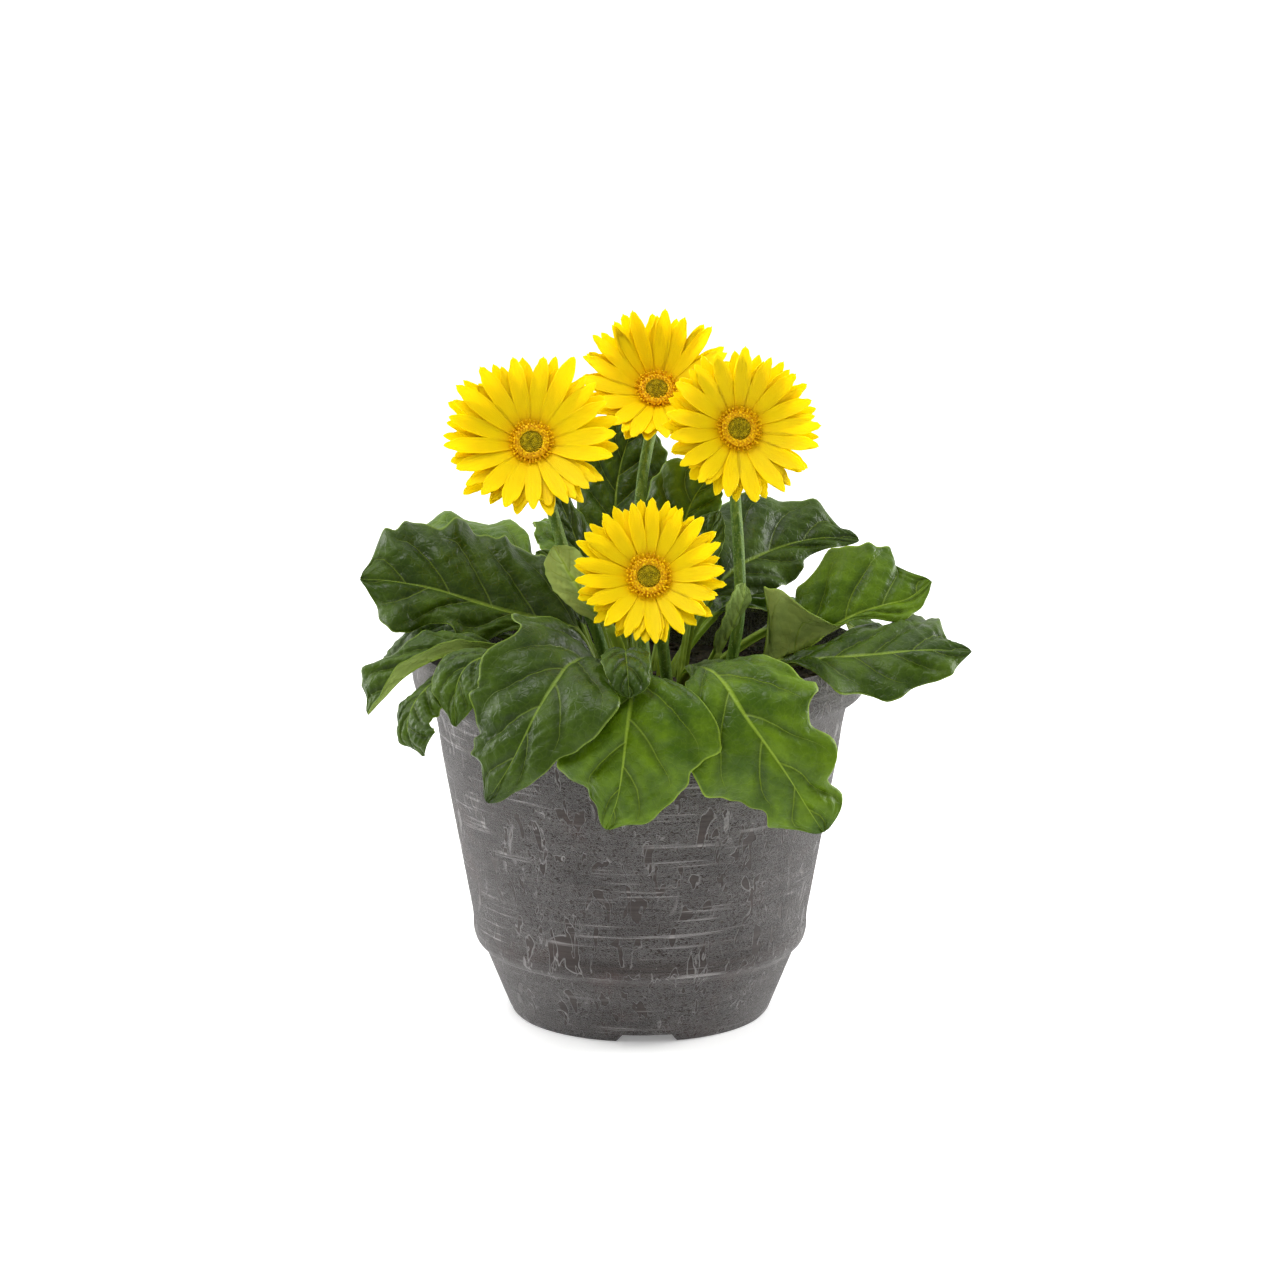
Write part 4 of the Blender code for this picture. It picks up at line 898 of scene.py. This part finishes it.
def bloom_centre(name, frame):
    """The button of closed buds, set in the turns of a sunflower's spiral."""
    base = CORE_FRONT + 0.3
    bm = turned([(0.0, base), (6.2, base), (6.2, -0.6), (4.8, 0.3), (3.2, 0.5), (1.6, 0.0),
                 (0.0, -0.4)], 28)
    looks = random.Random(name + "centre")
    for number in range(BUDS):
        radius = BUTTON_RADIUS * math.sqrt((number + 0.5) / BUDS)
        turn = number * GOLDEN_TURN
        share = radius / BUTTON_RADIUS
        level = -0.1 + 0.5 * math.sin(share * math.pi) - 0.5 * share ** 4
        size = looks.uniform(0.50, 0.62)
        stand = Matrix.Translation((radius * math.cos(turn), radius * math.sin(turn), level))
        stretch = Matrix.Diagonal((size, size, size * looks.uniform(1.3, 1.9), 1.0))
        bmesh.ops.create_icosphere(bm, subdivisions=1, radius=1.0, matrix=stand @ stretch)
    bm.transform(frame)
    centre = placed(name + "_button", bm, angle=180.0)
    centre.data.materials.append(centre_green)
    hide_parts(name + "_centre")
    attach(centre, "root")


def bloom_stem(name, frame, path_points):
    """A stem with its cup of bracts: a ring of points drawn along the path, widened into
    the cup, with three rows of narrow bracts laid over it."""
    back = CORE_BACK - 0.3
    cup_points = [frame @ Vector((0, 0, back + z)) for z in (-17.0, -9.0)]
    path = even_path(path_points + [tuple(p) for p in cup_points])
    look = (frame.to_3x3() @ Vector((0, 0, 1))).normalized()
    stations = []
    for row in range(STEM_ROWS):
        slimmer = 1.0 - 0.06 * row / STEM_ROWS
        stations.append((Vector(path(row / STEM_ROWS)), STEM_RADIUS * slimmer, None))
    stations += [(frame @ Vector((0, 0, back + z)), radius, look) for z, radius in CUP]
    bm = bmesh.new()
    bmesh.ops.create_circle(bm, cap_ends=True, segments=STEM_SIDES, radius=1.0)
    bm.verts.ensure_lookup_table()
    across = Vector((1, 0, 0))
    ring = list(bm.verts)
    rims = list(bm.edges)
    for number, (spot, radius, way) in enumerate(stations):
        if way is None:
            after = stations[min(number + 1, len(stations) - 1)][0]
            before = stations[max(number - 1, 0)][0]
            way = (after - before).normalized()
        across = (across - across.dot(way) * way).normalized()
        second = way.cross(across)
        if number:
            grown = bmesh.ops.extrude_edge_only(bm, edges=rims)["geom"]
            ring_map = {}
            rims = [item for item in grown
                    if isinstance(item, bmesh.types.BMEdge) and len(item.link_faces) == 1]
            for vert in (item for item in grown if isinstance(item, bmesh.types.BMVert)):
                close = min(range(STEM_SIDES), key=lambda k: (ring[k].co - vert.co).length)
                ring_map[close] = vert
            ring = [ring_map[k] for k in range(STEM_SIDES)]
        for k, vert in enumerate(ring):
            turn = math.tau * k / STEM_SIDES
            wobble = 1.0 + 0.05 * math.cos(5.0 * turn)
            vert.co = spot + (across * math.cos(turn) + second * math.sin(turn)) * radius * wobble
    bmesh.ops.holes_fill(bm, edges=rims, sides=0)
    looks = random.Random(name + "bracts")
    for row, (z, radius, size, count, lean) in enumerate(BRACT_ROWS):
        for number in range(count):
            turn = math.tau * (number + 0.5 * row + looks.uniform(-0.15, 0.15)) / count
            grid = bmesh.ops.create_grid(bm, x_segments=2, y_segments=4, size=0.5)
            long = size * looks.uniform(0.9, 1.12)
            tilt = math.radians(90.0 - lean + looks.uniform(-5, 5))
            stand = frame @ Matrix.Translation((0, 0, back + z)) @ Matrix.Rotation(turn, 4, "Z")
            stand = stand @ Matrix.Translation((radius, 0, 0)) @ Matrix.Rotation(-tilt, 4, "Y")
            for vert in grid["verts"]:
                f = vert.co.y + 0.5
                half = 1.5 * (1.0 - f ** 1.6) + 0.12
                bulge = 0.9 * math.sin(math.pi * f) - 0.35 * (vert.co.x * 2.0) ** 2
                vert.co = stand @ Vector((long * f, half * vert.co.x * 2.0, -bulge))
            faces = list({face for vert in grid["verts"] for face in vert.link_faces})
            thicken(bm, faces, BRACT_THICK)
    bmesh.ops.recalc_face_normals(bm, faces=bm.faces)
    stem = placed(name + "_stalk", bm, angle=60.0)
    stem.data.materials.append(stem_skin)
    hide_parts(name + "_stem")
    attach(stem, "root")


def grow_bloom(name, seed, centre, elevation, turn, reach, tilt, width, stem):
    """One bloom on its stem, as four pieces in the bloom's own frame."""
    frame_of_bloom = bloom_frame(centre, elevation, turn)
    bloom_rays(name, frame_of_bloom, reach, tilt, width, random.Random(seed))
    bloom_collar(name, frame_of_bloom)
    bloom_centre(name, frame_of_bloom)
    bloom_stem(name, frame_of_bloom, stem)


grow_bloom("bloom_left", 11, (-63, -20, 346), 28, -1, 52.5, 27, 9.8,
           [(-16, -24, 200), (-26, -30, 237), (-38, -28, 264), (-47, -20, 290),
            (-55, -8, 315)])
grow_bloom("bloom_top", 12, (10, 48, 367), 40.5, 0, 48.8, 31, 9.4,
           [(4, 4, 200), (-1, 22, 250), (0, 40, 300), (4, 54, 328)])
grow_bloom("bloom_right", 13, (58, -10, 352), 19, 8, 47.8, 26, 9.2,
           [(52, -4, 200), (58, -9, 240), (58, -4, 275), (56, 6, 305),
            (55, 16, 328)])
grow_bloom("bloom_front", 14, (5, -90, 280), 28, 0, 45, 25.5, 8.4,
           [(16, -54, 200), (14, -58, 225), (11, -63, 245)])

# The stage: a plain white floor, soft white studio light from all round, and a camera
# with a long lens, a little above the plant, as in the photograph.
FLOOR_HALF = 30000.0
bm = bmesh.new()
bmesh.ops.create_grid(bm, x_segments=1, y_segments=1, size=FLOOR_HALF)
floor = placed("studio_floor", bm, (0.0, 0.0, 0.0))
paper = Surface("floor_paper", 0.9)
paper.tune(Base_Color=(0.95, 0.95, 0.95, 1.0), Specular_IOR_Level=0.1,
           Emission_Color=(1.0, 1.0, 1.0, 1.0), Emission_Strength=0.22)
floor.data.materials.append(paper.made)

world = bpy.data.worlds.new("studio_air")
world.use_nodes = True
air = world.node_tree
sky = air.nodes["Background"]
sky.inputs["Color"].default_value = (1.0, 1.0, 1.0, 1.0)
heading = air.nodes.new("ShaderNodeTexCoord")
facing = air.nodes.new("ShaderNodeVectorMath")
facing.operation = "DOT_PRODUCT"
facing.inputs[1].default_value = (0.0, 0.60, 0.80)
air.links.new(heading.outputs["Generated"], facing.inputs[0])
glow = air.nodes.new("ShaderNodeMapRange")
spans = {"From Min": -0.7, "From Max": 1.0, "To Min": 0.36, "To Max": 1.32}
for socket, value in spans.items():
    glow.inputs[socket].default_value = value
air.links.new(facing.outputs["Value"], glow.inputs["Value"])
air.links.new(glow.outputs["Result"], sky.inputs["Strength"])
bpy.context.scene.world = world


def soft_lamp(name, place, aim, size, power):
    """A large square lamp that looks at a point, both in metres."""
    light = bpy.data.lights.new(name, "AREA")
    light.shape = "SQUARE"
    light.size = size
    light.energy = power
    lamp = bpy.data.objects.new(name, light)
    lamp.location = place
    lamp.rotation_euler = (Vector(aim) - Vector(place)).to_track_quat("-Z", "Y").to_euler()
    bpy.context.scene.collection.objects.link(lamp)


soft_lamp("lamp_top", (-0.6, -0.2, 2.0), (0.0, 0.0, 0.2), 0.8, 22.0)
soft_lamp("lamp_left", (-1.8, 0.7, 0.8), (0.0, 0.0, 0.15), 1.0, 28.0)
soft_lamp("lamp_right", (1.8, 0.7, 0.8), (0.0, 0.0, 0.15), 1.0, 42.0)

CAMERA_RISE = math.radians(11.84)
CAMERA_REACH = 2.481
TARGET_HEIGHT = 0.224
target = Vector((AXIS_X * MM, AXIS_Y * MM, TARGET_HEIGHT))
lens = bpy.data.cameras.new("camera")
lens.lens = 118.125
lens.sensor_width = 36.0
lens.clip_end = 100.0
camera = bpy.data.objects.new("camera", lens)
backward = Vector((0.0, -math.cos(CAMERA_RISE), math.sin(CAMERA_RISE)))
camera.location = target + CAMERA_REACH * backward
camera.rotation_euler = (math.pi / 2 - CAMERA_RISE, 0.0, 0.0)
bpy.context.scene.collection.objects.link(camera)
bpy.context.scene.camera = camera
bpy.context.scene.view_settings.view_transform = "Standard"
